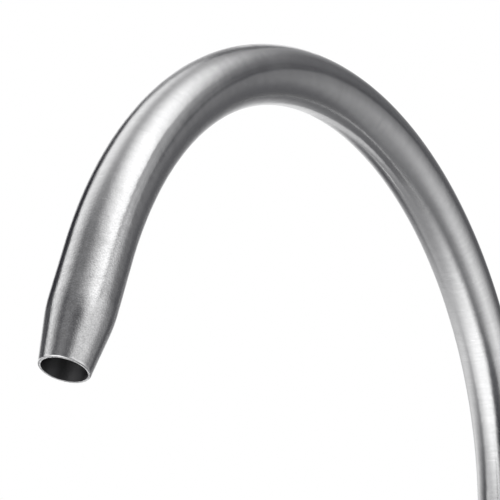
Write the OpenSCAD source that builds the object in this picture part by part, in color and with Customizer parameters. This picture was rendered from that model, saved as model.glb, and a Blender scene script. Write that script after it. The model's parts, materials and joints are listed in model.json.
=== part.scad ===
/* [Spout] */
// Outside diameter of the spout tube
tube_d = 12; // [10:0.5:13]
// Wall of the spout tube
tube_wall = 0.55; // [0.4:0.05:0.9]
// Height above the deck at which the gooseneck starts to bend
arc_start_h = 190; // [110:1:260]
// Radius of the gooseneck, to the middle of the tube
arc_r = 77; // [45:1:110]
// Angle through which the gooseneck bends
arc_sweep = 158.7; // [120:0.1:180]
// Straight run between the bend and the taper
tip_straight = 12.4; // [4:0.1:30]
// Length of the taper at the outlet
taper_len = 10.3; // [5:0.1:18]
// Outside diameter of the outlet
tip_d = 9; // [7:0.1:9.8]

/* [Spout foot] */
// Length of the tube that sits in its foot
tube_socket_len = 11; // [8:0.5:16]
// Wall of the foot round the tube
foot_wall = 1.25; // [0.9:0.05:2]
// Length of the foot below its flange
foot_stem_len = 14; // [13:0.5:20]
// Width of the foot's flange, beyond its stem
foot_flange_w = 1.75; // [1.2:0.05:1.9]
// Thickness of the foot's flange
foot_flange_t = 1.6; // [1:0.1:3]
// Thickness of the wall left round the water way in the foot
foot_bore_wall = 2.4; // [2.2:0.1:3]
// Cord thickness of the two rings that seal the foot
foot_ring_t = 1.5; // [1:0.1:1.8]
// Thickness of each glide ring
glide_t = 0.6; // [0.3:0.1:1.2]

/* [Body] */
// Outside diameter of the body
body_d = 25; // [24:0.5:30]
// Thickness of metal between neighbouring chambers in the body
web_t = 2; // [1.5:0.1:4]
// Height of the threaded neck on top of the body
neck_h = 8; // [5:0.5:9]
// Wall of the neck round the spout socket
neck_wall = 2; // [1.9:0.1:3]
// Bevel on the body's edges
body_bevel = 0.8; // [0.3:0.1:1.2]
// Radius of the water ways in the body
way_r = 3; // [2:0.1:3.2]
// Outside diameter of the side boss
boss_d = 22; // [22:0.5:24]
// Length of the side boss past the body
boss_reach = 4; // [2.5:0.5:10]

/* [Spout nut] */
// Height of the nut's straight skirt
nut_skirt_h = 8; // [5:0.5:8.5]
// Wall of the nut round the tube's foot, at its top
nut_top_wall = 1; // [0.6:0.1:2]
// Height of the nut's cone above the glide rings
nut_cone_h = 7; // [3:0.5:8]

/* [Base] */
// Outside diameter of the base flange
flange_d = 50; // [40:1:65]
// Height of the base flange
flange_h = 7.5; // [5:0.5:12]
// Height of the flange's upright rim
flange_rim_h = 2; // [1:0.5:4]
// Depth by which the body drops into the flange
flange_seat = 1.5; // [0.5:0.1:2.5]
// Thickness of the rubber gasket on the deck
gasket_t = 1.5; // [0.8:0.1:3]
// Distance from the flange's rim in to the gasket's rim
gasket_inset = 1.5; // [0.5:0.1:4]

/* [Shank and deck] */
// Outside diameter of the shank's thread
shank_d = 11.1; // [10:0.1:12]
// Bore of the shank
shank_bore_d = 6.5; // [5:0.1:7]
// Pitch of the shank's thread
shank_pitch = 1.06; // [0.8:0.01:1.5]
// Length of thread in the body
shank_engage = 8; // [6:0.5:14]
// Length of the shank below the deck's top
shank_drop = 62; // [58:1:90]
// Thickness of the deck between the gasket and the washers
deck_t = 25; // [8:1:30]
// Outside diameter of the washers under the deck
deck_washer_d = 30; // [24:1:50]
// Thickness of the rubber washer under the deck
deck_washer_t = 3; // [1.5:0.1:5]
// Thickness of the steel washer under it
clamp_washer_t = 1.5; // [0.8:0.1:2.5]
// Thickness of the toothed lock washer
star_washer_t = 0.8; // [0.5:0.1:1.5]
// Distance across the flats of the mounting nut
mount_nut_flats = 16; // [15:0.5:22]
// Height of the mounting nut
mount_nut_h = 8; // [5:0.5:10]

/* [Valve] */
// Diameter of the ceramic discs' chamber
disc_d = 14; // [13:0.1:14.2]
// Thickness of each ceramic disc
disc_t = 2.5; // [2:0.1:4]
// Radius of the ports through the discs
port_r = 1.7; // [1:0.1:1.8]
// Thickness of the rubber seal under the discs
seat_seal_t = 1.5; // [1:0.1:2.5]
// Distance from the body's middle to the valve seat
seat_x = 3.6; // [3.2:0.1:5]
// Wall of the cartridge round the discs
sleeve_wall = 0.9; // [0.8:0.05:1.2]
// Depth of the thread on the cartridge, which is also the water channel round it
channel_t = 0.6; // [0.4:0.05:0.8]
// Diameter of the valve stem
stem_d = 8; // [7:0.1:8.6]
// Cord thickness of the ring that seals the stem
stem_ring_t = 1.2; // [0.8:0.1:1.4]
// Thickness of the stem's thrust washer
thrust_t = 0.5; // [0.3:0.1:1]
// Width of the cartridge's collar, beyond its thread
cart_collar_w = 1.2; // [1:0.05:1.3]
// Thickness of the cartridge's collar
cart_collar_t = 1.4; // [1:0.1:2.5]
// Distance across the flats of the cartridge's hexagon
cart_flats = 15; // [13:0.1:16.5]
// Thickness of the cartridge's hexagon
cart_hex_t = 3; // [2:0.1:5]
// Thickness of the washer under the collar
collar_washer_t = 0.8; // [0.5:0.1:1.5]
// Thickness of the clip that keeps the stem in
clip_t = 0.7; // [0.5:0.1:1.2]

/* [Handle] */
// Diameter of the handle's hub
hub_d = 22; // [20:0.5:26]
// Length of the hub
hub_len = 14; // [13:0.5:20]
// Diameter of the stem's end in the hub
drive_d = 6; // [5.6:0.1:6.6]
// Length of the stem's end in the hub
drive_len = 9.5; // [9:0.5:11]
// Height of the flat cut on the stem's end, from its middle
drive_flat = 2.2; // [1.8:0.1:2.5]
// Length of the lever above the hub
lever_len = 42; // [25:1:70]
// Diameter of the lever at the hub
lever_root_d = 6.4; // [5.8:0.1:7.4]
// Diameter of the lever at its round end
lever_tip_d = 5; // [4:0.1:6.4]
// Diameter of the lever's threaded end in the hub
lever_stud_d = 4; // [3:0.1:4.6]
// Diameter of the set screw
screw_d = 4; // [3:0.1:5]

/* [Inlet connector] */
// Diameter of the supply tube that the inlet takes
supply_d = 6.35; // [6:0.05:6.6]
// Depth of the tube's socket above its seal
supply_socket = 10; // [6:0.5:14]
// Outside diameter of the connector
conn_d = 18; // [17.5:0.5:24]
// Length of thread in the connector
conn_engage = 11; // [6:0.5:14]
// Travel of the collet
collet_travel = 1.5; // [0.8:0.1:2.5]
// Cord thickness of the ring that seals the supply tube
supply_ring_t = 1.6; // [1.2:0.1:2]

/* [Fits] */
// Radial gap of parts that turn or slide in each other
run_gap = 0.05; // [0.02:0.01:0.1]
// Gap between parts that lie in each other and don't move
seat_gap = 0.05; // [0.02:0.01:0.1]
// Gap between moving parts that must never touch
free_gap = 0.3; // [0.2:0.05:0.6]
// Gap between the lapped faces of the discs
lap_gap = 0.02; // [0.01:0.01:0.05]

/* [Hidden] */
$fn = 96;
// Length by which a cutting shape runs past what it cuts
past = 1;
// Room over a ring's cord in its groove
cord_gap = 0.02;
// Thickness of the flat seals at the shank's ends
flat_seal_t = 1;
// Step in radius, length and bevel with which the spout's straight end overlaps the bend
join_step = 0.01;
join_len = 0.2;
join_bevel = 0.3;
// Depth of a ring's groove, as a share of its cord
groove_share = 0.85;
// Room beside a ring's cord in its groove
groove_room = 0.4;

// Foot of the spout and the socket that it turns in
foot_neck_r = tube_d / 2 + foot_wall;
foot_step = 0.3;
foot_stem_r = foot_neck_r - foot_step;
socket_r = foot_stem_r + run_gap;
foot_flange_r = foot_stem_r + foot_flange_w;
neck_r = socket_r + neck_wall;
ring_groove_w = foot_ring_t + groove_room;
ring_groove_r = foot_stem_r - foot_ring_t * groove_share;
foot_bore_r = foot_stem_r - foot_bore_wall;

// Cartridge, from the seat outward along X
disc_r = disc_d / 2;
sleeve_r = disc_r + seat_gap + sleeve_wall;
cart_r = sleeve_r + channel_t;
chamber_r = cart_r + seat_gap;
fixed_disc_x = seat_x + seat_seal_t;
turning_disc_x = fixed_disc_x + disc_t + lap_gap;
driver_x = turning_disc_x + disc_t;
driver_t = 2.5;
driver_w = 3.6;
key_h = 1.2;
key_w = 2.4;
stem_collar_x = driver_x + driver_t;
stem_collar_t = 0.8;
thrust_x = stem_collar_x + stem_collar_t;
shoulder_x = thrust_x + thrust_t + run_gap;
stem_r = stem_d / 2;
stem_collar_w = 1.6;
stem_collar_r = stem_r + stem_collar_w;
stem_ring_wall = 1.2;
stem_ring_x = shoulder_x + stem_ring_wall;
stem_groove_w = stem_ring_t + groove_room;
stem_groove_r = stem_r - stem_ring_t * groove_share;
lug_w = 2.6;
window_w = 7;
spigot_len = 3.5;
boss_face_x = body_d / 2 + boss_reach + spigot_len;
spigot_r = chamber_r + cart_collar_w;
cart_collar_r = spigot_r - seat_gap;
collar_x = boss_face_x + collar_washer_t;
hex_x = collar_x + cart_collar_t;
hex_end_x = hex_x + cart_hex_t;
hex_corner_r = cart_flats / 2 / cos(30);
clip_x = hex_end_x + run_gap;
clip_w = 1.6;
clip_groove_d = 0.7;
clip_lip_t = 0.5;
clip_outer_r = stem_r + clip_w;
clip_groove_r = stem_r - clip_groove_d;
stem_end_x = clip_x + clip_t + clip_lip_t;
bonnet_lip_t = 1;
bonnet_end_x = stem_end_x + free_gap + bonnet_lip_t;

// Hub and lever
hub_x = bonnet_end_x + free_gap;
hub_end_x = hub_x + hub_len;
drive_end_x = stem_end_x + drive_len;
drive_r = drive_d / 2;
hub_r = hub_d / 2;
lever_x = hub_x + hub_len / 2;
lever_sink = 0.2;
lever_seat_h = sqrt(pow(hub_r, 2) - pow(lever_root_d / 2 + seat_gap, 2)) - lever_sink;
lever_stud_len = 5;
screw_recess = 2.5;
screw_key_h = 2;

// Heights above the deck
flange_z = gasket_t;
body_z = flange_z + flange_h - flange_seat;
shank_top_z = body_z + shank_engage;
shank_socket_z = shank_top_z + flat_seal_t;
axis_z = shank_socket_z + web_t + chamber_r;
foot_ledge = 1;
ring_spacing = 2;
socket_z = axis_z + chamber_r + web_t;
foot_end_z = socket_z + free_gap;
foot_flange_z = foot_end_z + foot_stem_len;
neck_top_z = foot_flange_z - run_gap - glide_t;
shoulder_z = neck_top_z - neck_h;
foot_flange_top_z = foot_flange_z + foot_flange_t;
upper_glide_z = foot_flange_top_z + run_gap;
nut_lip_z = upper_glide_z + glide_t;
nut_top_z = nut_lip_z + nut_cone_h;
tube_start_z = foot_flange_z + foot_ledge;
foot_top_z = tube_start_z + tube_socket_len;
low_ring_z = foot_end_z + ring_spacing;
high_ring_z = low_ring_z + ring_groove_w + ring_spacing;

// Shank and what hangs on it
shank_r = shank_d / 2;
shank_hole_r = shank_r + seat_gap;
thread_share = 0.6;
thread_h = thread_share * shank_pitch;
shank_end_z = -shank_drop;
deck_washer_z = -deck_t - deck_washer_t;
clamp_washer_z = deck_washer_z - clamp_washer_t;
star_washer_z = clamp_washer_z - star_washer_t;
mount_nut_z = star_washer_z - mount_nut_h;
star_teeth = 12;

// Connector, from the shank's end downward
conn_top_z = shank_end_z + conn_engage;
conn_web_z = shank_end_z - flat_seal_t;
supply_r = supply_d / 2;
supply_gap = 0.075;
supply_stop_t = 4;
supply_stop_w = 0.8;
supply_bore_r = supply_r + supply_gap;
supply_stop_z = conn_web_z - supply_stop_t;
supply_ring_z = supply_stop_z - supply_socket;
supply_ring_r = supply_bore_r + supply_ring_t;
collet_room_z = supply_ring_z - supply_ring_t;
collet_wall = 1.3;
collet_gap = 0.02;
collet_bore_r = supply_bore_r + collet_gap;
collet_r = collet_bore_r + collet_wall;
collet_barb_w = 0.5;
collet_barb_r = collet_r + collet_barb_w;
collet_barb_h = 1.4;
collet_top_z = collet_room_z - collet_travel - free_gap;
collet_cap_z = collet_top_z - collet_barb_h - seat_gap;
collet_cap_h = 4;
conn_end_z = collet_cap_z - collet_cap_h;
cap_rim_t = 1;
barrel_inset = 0.6;
barrel_r = conn_d / 2 - barrel_inset;
cap_rim_inset = 0.8;
cap_rim_r = barrel_r - cap_rim_inset;
collet_pad_z = conn_end_z - cap_rim_t - collet_travel - run_gap;
collet_pad_t = 1.5;
collet_pad_inset = 0.8;
collet_pad_r = cap_rim_r - collet_pad_inset;
collet_room_r = collet_barb_r + free_gap;

// A ring round the Z axis, from height z up to z + h
module ring(outer_r, inner_r, z, h) {
    translate([0, 0, z])
        difference() {
            cylinder(r = outer_r, h = h);
            translate([0, 0, -past])
                cylinder(r = inner_r, h = h + 2 * past);
        }
}

// A round solid on the Z axis
module rod(r, z, h) {
    translate([0, 0, z])
        cylinder(r = r, h = h);
}

// Moves a shape from the Z axis onto the valve's axis, where its Z runs along X
module on_valve_axis() {
    translate([0, 0, axis_z])
        rotate([0, 90, 0])
            children();
}

// A seal ring of round cord, flattened between its groove and the bore of radius seat_r
module cord_ring(seat_r, cord, z) {
    room = cord * groove_share - cord_gap;
    translate([0, 0, z])
        rotate_extrude()
            intersection() {
                translate([seat_r - room / 2, 0])
                    circle(d = cord);
                translate([seat_r - room, -cord])
                    square([room, 2 * cord]);
            }
}

// The gooseneck as a solid bar of radius r, end_r at the outlet, running run_out past both ends.
// The straight run is a hair wider than the bend and its bevelled start lies in the bend.
module spout_form(r, end_r, run_out) {
    end_run_r = r + join_step;
    rod(r, tube_start_z - run_out, arc_start_h - tube_start_z + run_out);
    translate([0, -arc_r, arc_start_h])
        rotate([90, 0, 90])
            rotate_extrude(angle = arc_sweep)
                translate([arc_r, 0])
                    circle(r = r);
    on_spout_end() {
        translate([0, 0, -join_len - join_bevel])
            cylinder(r1 = end_run_r - join_bevel, r2 = end_run_r, h = join_bevel);
        translate([0, 0, -join_len])
            cylinder(r = end_run_r, h = tip_straight + join_len);
        translate([0, 0, tip_straight])
            cylinder(r1 = end_run_r, r2 = end_r, h = taper_len);
        if (run_out > 0)
            translate([0, 0, tip_straight + taper_len])
                cylinder(r = end_r, h = run_out);
    }
}

// Moves a shape from the Z axis to the end of the bend, where its Z runs toward the outlet
module on_spout_end() {
    translate([0, -arc_r, arc_start_h])
        rotate([arc_sweep, 0, 0])
            translate([0, arc_r, 0])
                children();
}

module spout_tube() {
    color("silver")
        difference() {
            spout_form(tube_d / 2, tip_d / 2, 0);
            spout_form(tube_d / 2 - tube_wall, tip_d / 2 - tube_wall, past);
        }
}

module spout_foot() {
    color("silver")
        difference() {
            union() {
                rod(foot_stem_r, foot_end_z, foot_flange_z - foot_end_z + foot_flange_t / 2);
                rod(foot_flange_r, foot_flange_z, foot_flange_t);
                rod(foot_neck_r, foot_flange_z, foot_top_z - foot_flange_z);
            }
            rod(tube_d / 2 + seat_gap, tube_start_z, tube_socket_len + 2 * past);
            rod(foot_bore_r, foot_end_z - past, tube_start_z - foot_end_z + 2 * past);
            for (z = [low_ring_z, high_ring_z])
                ring(foot_stem_r + past, ring_groove_r, z, ring_groove_w);
        }
}

module spout_o_rings() {
    color("dimgray")
        for (z = [low_ring_z, high_ring_z])
            cord_ring(foot_stem_r, foot_ring_t, z + ring_groove_w / 2);
}

module lower_glide_ring() {
    color("white")
        ring(foot_flange_r, socket_r, neck_top_z, glide_t);
}

module upper_glide_ring() {
    color("white")
        ring(foot_flange_r, foot_neck_r + free_gap, upper_glide_z, glide_t);
}

module spout_nut() {
    cone_foot_z = shoulder_z + nut_skirt_h;
    top_r = foot_neck_r + free_gap + nut_top_wall;
    color("silver")
        difference() {
            union() {
                rod(body_d / 2, shoulder_z, nut_skirt_h);
                translate([0, 0, cone_foot_z])
                    cylinder(r1 = body_d / 2, r2 = top_r, h = nut_top_z - cone_foot_z);
            }
            rod(neck_r + seat_gap, shoulder_z - past, nut_lip_z - shoulder_z + past);
            rod(foot_neck_r + free_gap, shoulder_z, nut_top_z - shoulder_z + past);
        }
}

module valve_body() {
    passage_r = 1.6;
    passage_x = seat_x + passage_r;
    color("silver")
        difference() {
            union() {
                translate([0, 0, body_z])
                    cylinder(r1 = body_d / 2 - body_bevel, r2 = body_d / 2, h = body_bevel);
                rod(body_d / 2, body_z + body_bevel, shoulder_z - body_z - body_bevel);
                rod(neck_r, shoulder_z, neck_h);
                on_valve_axis() {
                    cylinder(r = boss_d / 2, h = boss_face_x - spigot_len);
                    cylinder(r = spigot_r, h = boss_face_x);
                }
            }
            rod(shank_hole_r, body_z - past, shank_socket_z - body_z + past);
            rod(way_r, shank_socket_z - past, axis_z - shank_socket_z + past);
            on_valve_axis() {
                cylinder(r = way_r, h = seat_x + past);
                translate([0, 0, seat_x])
                    cylinder(r = chamber_r, h = boss_face_x);
            }
            translate([passage_x, 0, axis_z])
                cylinder(r = passage_r, h = socket_z - axis_z + past);
            rod(socket_r, socket_z, neck_top_z - socket_z + past);
        }
}

module base_flange() {
    slope_z = flange_z + flange_rim_h;
    collar_w = 1.2;
    top_r = body_d / 2 + collar_w;
    color("silver")
        difference() {
            union() {
                rod(flange_d / 2, flange_z, flange_rim_h);
                translate([0, 0, slope_z])
                    cylinder(r1 = flange_d / 2, r2 = top_r, h = flange_h - flange_rim_h);
            }
            rod(shank_hole_r, flange_z - past, flange_h + 2 * past);
            rod(body_d / 2 + seat_gap, body_z, flange_seat + past);
        }
}

module base_gasket() {
    color("dimgray")
        ring(flange_d / 2 - gasket_inset, shank_hole_r, 0, gasket_t);
}

// Closed outline of the shank's right half, with one tooth to each pitch below the body
module shank_outline() {
    thread_top_z = -0.5;
    plain_end = 1;
    turns = floor((thread_top_z - shank_end_z - plain_end) / shank_pitch);
    root_r = shank_r - thread_h;
    teeth = [
        for (i = [0 : turns - 1])
            for (p = [
                [shank_r, thread_top_z - i * shank_pitch],
                [root_r, thread_top_z - (i + 0.5) * shank_pitch]
            ])
                p
    ];
    polygon(concat(
        [[shank_bore_d / 2, shank_top_z], [shank_r, shank_top_z]],
        teeth,
        [[root_r, shank_end_z], [shank_bore_d / 2, shank_end_z]]
    ));
}

module threaded_shank() {
    color("goldenrod")
        rotate_extrude()
            shank_outline();
}

module shank_gasket() {
    color("dimgray")
        ring(shank_r, shank_bore_d / 2, shank_top_z, flat_seal_t);
}

module deck_washer() {
    color("dimgray")
        ring(deck_washer_d / 2, shank_hole_r, deck_washer_z, deck_washer_t);
}

module clamp_washer() {
    clamp_inset = 1;
    color("silver")
        ring(deck_washer_d / 2 - clamp_inset, shank_hole_r, clamp_washer_z, clamp_washer_t);
}

module star_washer() {
    rim_inset = 0.6;
    rim_r = mount_nut_flats / 2 - rim_inset;
    tooth_w = 1.6;
    tooth_root = 1;
    tooth_len = 1.2;
    color("silver")
        difference() {
            union() {
                rod(rim_r, star_washer_z, star_washer_t);
                for (i = [0 : star_teeth - 1])
                    rotate([0, 0, i * 360 / star_teeth])
                        translate([rim_r - tooth_root, -tooth_w / 2, star_washer_z])
                            cube([tooth_root + tooth_len, tooth_w, star_washer_t]);
            }
            rod(shank_hole_r, star_washer_z - past, star_washer_t + 2 * past);
        }
}

module mounting_nut() {
    corner_r = mount_nut_flats / 2 / cos(30);
    color("goldenrod")
        difference() {
            intersection() {
                translate([0, 0, mount_nut_z])
                    cylinder(r = corner_r, h = mount_nut_h, $fn = 6);
                translate([0, 0, mount_nut_z])
                    cylinder(r1 = mount_nut_flats / 2, r2 = corner_r + mount_nut_h, h = mount_nut_h + past);
            }
            rod(shank_hole_r, mount_nut_z - past, mount_nut_h + 2 * past);
        }
}

module cartridge_housing() {
    sleeve_x = seat_x + seat_seal_t / 3;
    thread_x = shoulder_x;
    lug_slot_w = lug_w + 2 * seat_gap;
    color("goldenrod")
        on_valve_axis()
            difference() {
                union() {
                    rod(sleeve_r, sleeve_x, thread_x - sleeve_x + past);
                    rod(cart_r, thread_x, hex_end_x - thread_x - past);
                    rod(cart_collar_r, collar_x, cart_collar_t);
                    translate([0, 0, hex_x - cart_collar_t / 2])
                        cylinder(r = hex_corner_r, h = cart_hex_t + cart_collar_t / 2, $fn = 6);
                }
                rod(disc_r + seat_gap, sleeve_x - past, shoulder_x - sleeve_x + past);
                rod(stem_r + run_gap, shoulder_x - past, hex_end_x - shoulder_x + 2 * past);
                for (side = [0, 180])
                    rotate([0, 0, side + 90])
                        translate([0, -lug_slot_w / 2, sleeve_x - past])
                            cube([sleeve_r + past, lug_slot_w, turning_disc_x - lap_gap - sleeve_x + past]);
                for (side = [0, 180])
                    rotate([0, 0, side])
                        translate([0, -window_w / 2, turning_disc_x + disc_t / 2])
                            cube([sleeve_r + past, window_w, stem_collar_x - turning_disc_x - disc_t / 2]);
            }
}

module housing_washer() {
    color("chocolate")
        on_valve_axis()
            ring(cart_collar_r, cart_r + seat_gap, boss_face_x, collar_washer_t);
}

module seat_seal() {
    seal_inset = 0.1;
    color("dimgray")
        on_valve_axis()
            ring(disc_r - seal_inset, way_r, seat_x, seat_seal_t);
}

// The two ports of a disc, on a line through its middle
module disc_ports(x) {
    port_shift = 0.1;
    port_place = disc_r / 2 + port_shift;
    for (side = [-1, 1])
        translate([side * port_place, 0, x - past])
            cylinder(r = port_r, h = disc_t + 2 * past);
}

module fixed_disc() {
    lug_inset = 0.2;
    lug_r = sleeve_r - lug_inset;
    color("white")
        on_valve_axis()
            difference() {
                union() {
                    rod(disc_r, fixed_disc_x, disc_t);
                    translate([-lug_w / 2, -lug_r, fixed_disc_x])
                        cube([lug_w, 2 * lug_r, disc_t]);
                }
                disc_ports(fixed_disc_x);
            }
}

module turning_disc() {
    color("white")
        on_valve_axis()
            difference() {
                rod(disc_r - free_gap, turning_disc_x, disc_t);
                rotate([0, 0, 90])
                    disc_ports(turning_disc_x);
                translate([-disc_r, -key_w / 2 - seat_gap, driver_x - key_h - seat_gap])
                    cube([disc_d, key_w + 2 * seat_gap, key_h + seat_gap + past]);
            }
}

module valve_stem() {
    bar_r = disc_r - 2 * free_gap;
    color("goldenrod")
        on_valve_axis()
            difference() {
                union() {
                    intersection() {
                        rod(bar_r, driver_x, driver_t + past / 2);
                        translate([-disc_r, -driver_w / 2, driver_x])
                            cube([disc_d, driver_w, driver_t + past / 2]);
                    }
                    intersection() {
                        rod(bar_r, driver_x - key_h, key_h + past / 2);
                        translate([-disc_r, -key_w / 2, driver_x - key_h])
                            cube([disc_d, key_w, key_h + past / 2]);
                    }
                    rod(stem_collar_r, stem_collar_x, stem_collar_t);
                    rod(stem_r, stem_collar_x, stem_end_x - stem_collar_x);
                    rod(drive_r, stem_end_x - past, drive_end_x - stem_end_x + past);
                }
                ring(stem_r + past, stem_groove_r, stem_ring_x, stem_groove_w);
                ring(stem_r + past, clip_groove_r, clip_x, clip_t + run_gap);
                translate([drive_flat, -stem_d, stem_end_x])
                    cube([stem_d, 2 * stem_d, drive_len + past]);
            }
}

module stem_o_ring() {
    color("dimgray")
        on_valve_axis()
            cord_ring(stem_r, stem_ring_t, stem_ring_x + stem_groove_w / 2);
}

module thrust_washer() {
    color("white")
        on_valve_axis()
            ring(stem_collar_r, stem_r + seat_gap, thrust_x, thrust_t);
}

module stem_clip() {
    mouth_share = 0.8;
    mouth_w = 2 * clip_groove_r * mouth_share;
    color("silver")
        on_valve_axis()
            difference() {
                ring(clip_outer_r, clip_groove_r + seat_gap, clip_x, clip_t);
                translate([-clip_outer_r - past, -mouth_w / 2, clip_x - past])
                    cube([clip_outer_r + past, mouth_w, clip_t + 2 * past]);
            }
}

module bonnet() {
    start_x = boss_face_x - spigot_len;
    color("silver")
        on_valve_axis()
            difference() {
                union() {
                    rod(boss_d / 2, start_x, bonnet_end_x - start_x - body_bevel);
                    translate([0, 0, bonnet_end_x - body_bevel])
                        cylinder(r1 = boss_d / 2, r2 = boss_d / 2 - body_bevel, h = body_bevel);
                }
                rod(spigot_r + seat_gap, start_x - past, bonnet_end_x - bonnet_lip_t - start_x + past);
                rod(clip_outer_r + free_gap, start_x, bonnet_end_x - start_x + past);
            }
}

module handle_hub() {
    screw_hole_r = screw_d / 2 + seat_gap;
    color("silver")
        on_valve_axis()
            difference() {
                union() {
                    translate([0, 0, hub_x])
                        cylinder(r1 = hub_r - body_bevel, r2 = hub_r, h = body_bevel);
                    rod(hub_r, hub_x + body_bevel, hub_len - 2 * body_bevel);
                    translate([0, 0, hub_end_x - body_bevel])
                        cylinder(r1 = hub_r, r2 = hub_r - body_bevel, h = body_bevel);
                }
                difference() {
                    rod(drive_r + seat_gap, hub_x - past, drive_end_x - hub_x + past + free_gap);
                    translate([drive_flat + seat_gap, -drive_d, hub_x - 2 * past])
                        cube([drive_d, 2 * drive_d, hub_len]);
                }
                translate([0, 0, lever_x])
                    rotate([0, 90, 0])
                        translate([0, 0, drive_flat + seat_gap])
                            cylinder(r = screw_hole_r, h = hub_r);
                translate([0, 0, lever_x])
                    rotate([0, -90, 0]) {
                        translate([0, 0, lever_seat_h])
                            cylinder(r = lever_root_d / 2 + seat_gap, h = hub_r);
                        translate([0, 0, lever_seat_h - lever_stud_len - free_gap])
                            cylinder(r = lever_stud_d / 2 + seat_gap, h = hub_r);
                    }
            }
}

module lever_rod() {
    tip_r = lever_tip_d / 2;
    color("silver")
        translate([lever_x, 0, axis_z + lever_seat_h]) {
            translate([0, 0, -lever_stud_len])
                cylinder(r = lever_stud_d / 2, h = lever_stud_len + past);
            cylinder(r1 = lever_root_d / 2, r2 = tip_r, h = lever_len - tip_r);
            translate([0, 0, lever_len - tip_r])
                sphere(r = tip_r);
        }
}

module hub_set_screw() {
    key_r = screw_d / 4;
    screw_len = lever_seat_h - drive_flat - screw_recess;
    color("dimgray")
        translate([lever_x, 0, axis_z - drive_flat - seat_gap - screw_len])
            difference() {
                cylinder(r = screw_d / 2, h = screw_len);
                translate([0, 0, -past])
                    cylinder(r = key_r, h = screw_key_h + past, $fn = 6);
            }
}

module connector_body() {
    grip_skirt = 1;
    grip_h = conn_top_z - conn_web_z + grip_skirt;
    color("whitesmoke")
        difference() {
            union() {
                rod(barrel_r, conn_end_z, conn_top_z - grip_h - conn_end_z + past);
                translate([0, 0, conn_top_z - grip_h])
                    cylinder(r = conn_d / 2, h = grip_h, $fn = 12);
            }
            rod(shank_hole_r, conn_web_z, conn_top_z - conn_web_z + past);
            rod(supply_r - supply_stop_w, supply_stop_z - past, conn_web_z - supply_stop_z + 2 * past);
            rod(supply_bore_r, supply_ring_z - past, supply_stop_z - supply_ring_z + past);
            rod(supply_ring_r, collet_room_z, supply_ring_t);
            rod(collet_room_r, conn_end_z - past, collet_room_z - conn_end_z + past);
        }
}

module connector_seal() {
    color("dimgray")
        ring(shank_r, supply_r, conn_web_z, flat_seal_t);
}

module tube_o_ring() {
    color("dimgray")
        ring(supply_ring_r - seat_gap, supply_bore_r, collet_room_z, supply_ring_t);
}

module collet_cap() {
    color("gainsboro")
        difference() {
            union() {
                rod(collet_room_r - seat_gap, conn_end_z - cap_rim_t / 2, collet_cap_h + cap_rim_t / 2);
                rod(cap_rim_r, conn_end_z - cap_rim_t, cap_rim_t);
            }
            rod(collet_r + run_gap, conn_end_z - 2 * past, collet_cap_h + 3 * past);
        }
}

module collet() {
    slot_w = 0.8;
    slot_h = 5;
    color("gainsboro")
        difference() {
            union() {
                rod(collet_pad_r, collet_pad_z - collet_pad_t, collet_pad_t);
                rod(collet_r, collet_pad_z - past, collet_top_z - collet_pad_z + past);
                rod(collet_barb_r, collet_top_z - collet_barb_h, collet_barb_h);
            }
            rod(collet_bore_r, collet_pad_z - collet_pad_t - past,
                collet_top_z - collet_pad_z + collet_pad_t + 2 * past);
            for (side = [0, 90])
                rotate([0, 0, side])
                    translate([-conn_d, -slot_w / 2, collet_top_z - slot_h])
                        cube([2 * conn_d, slot_w, slot_h + past]);
        }
}

spout_tube();
spout_foot();
spout_o_rings();
lower_glide_ring();
upper_glide_ring();
spout_nut();
valve_body();
base_flange();
base_gasket();
threaded_shank();
shank_gasket();
deck_washer();
clamp_washer();
star_washer();
mounting_nut();
cartridge_housing();
housing_washer();
seat_seal();
fixed_disc();
turning_disc();
valve_stem();
stem_o_ring();
thrust_washer();
stem_clip();
bonnet();
handle_hub();
lever_rod();
hub_set_screw();
connector_body();
connector_seal();
tube_o_ring();
collet_cap();
collet();
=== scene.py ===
"""Dresses the water filter faucet on its fixed frame: fine meshes, finishes, a small studio and the camera.

Sizes are millimetres, as on a drawing, and angles degrees. Meshes are made in metres, in the frame's axes.
"""
import json
import logging
import math
from collections.abc import Callable, Sequence
from dataclasses import dataclass, replace
from enum import Enum
from functools import cached_property
from typing import NamedTuple, Protocol

import bmesh
import bpy
from mathutils import Matrix, Vector


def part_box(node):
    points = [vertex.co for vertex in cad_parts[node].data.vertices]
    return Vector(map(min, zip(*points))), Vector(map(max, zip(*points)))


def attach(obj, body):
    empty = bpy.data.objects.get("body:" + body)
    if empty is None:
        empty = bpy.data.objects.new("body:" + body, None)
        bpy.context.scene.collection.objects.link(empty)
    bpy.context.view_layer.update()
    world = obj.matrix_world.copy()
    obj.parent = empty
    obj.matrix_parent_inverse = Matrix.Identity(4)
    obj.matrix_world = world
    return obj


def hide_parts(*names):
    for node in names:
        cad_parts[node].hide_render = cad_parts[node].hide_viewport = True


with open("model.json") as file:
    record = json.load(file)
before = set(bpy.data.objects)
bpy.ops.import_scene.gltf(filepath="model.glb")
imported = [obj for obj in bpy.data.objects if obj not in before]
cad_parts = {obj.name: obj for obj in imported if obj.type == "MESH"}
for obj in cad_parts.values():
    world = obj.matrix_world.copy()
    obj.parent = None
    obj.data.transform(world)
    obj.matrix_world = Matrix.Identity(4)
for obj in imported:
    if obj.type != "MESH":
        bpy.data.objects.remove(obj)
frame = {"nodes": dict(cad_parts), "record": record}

LOG = logging.getLogger("faucet")
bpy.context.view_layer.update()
MM = 0.001
BODY_OF = {node: body for body, nodes in frame["record"]["behaviour"]["bodies"].items() for node in nodes}

# What a skin keeps for its finish: its unrolled map, and how worn, how far inside and how tool-marked it is
TURNED, WORN, BORE, TOOLED = "turned", "worn", "bore", "tooled"

# Roundings of turned corners: one that doesn't show, a crisp one, a plain one and an eased one
HIDDEN, CRISP, PLAIN, EASED = 0.02, 0.05, 0.1, 0.25

# Radii on the drawing are whole steps of this size
RADIUS_STEP = 0.05

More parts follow.
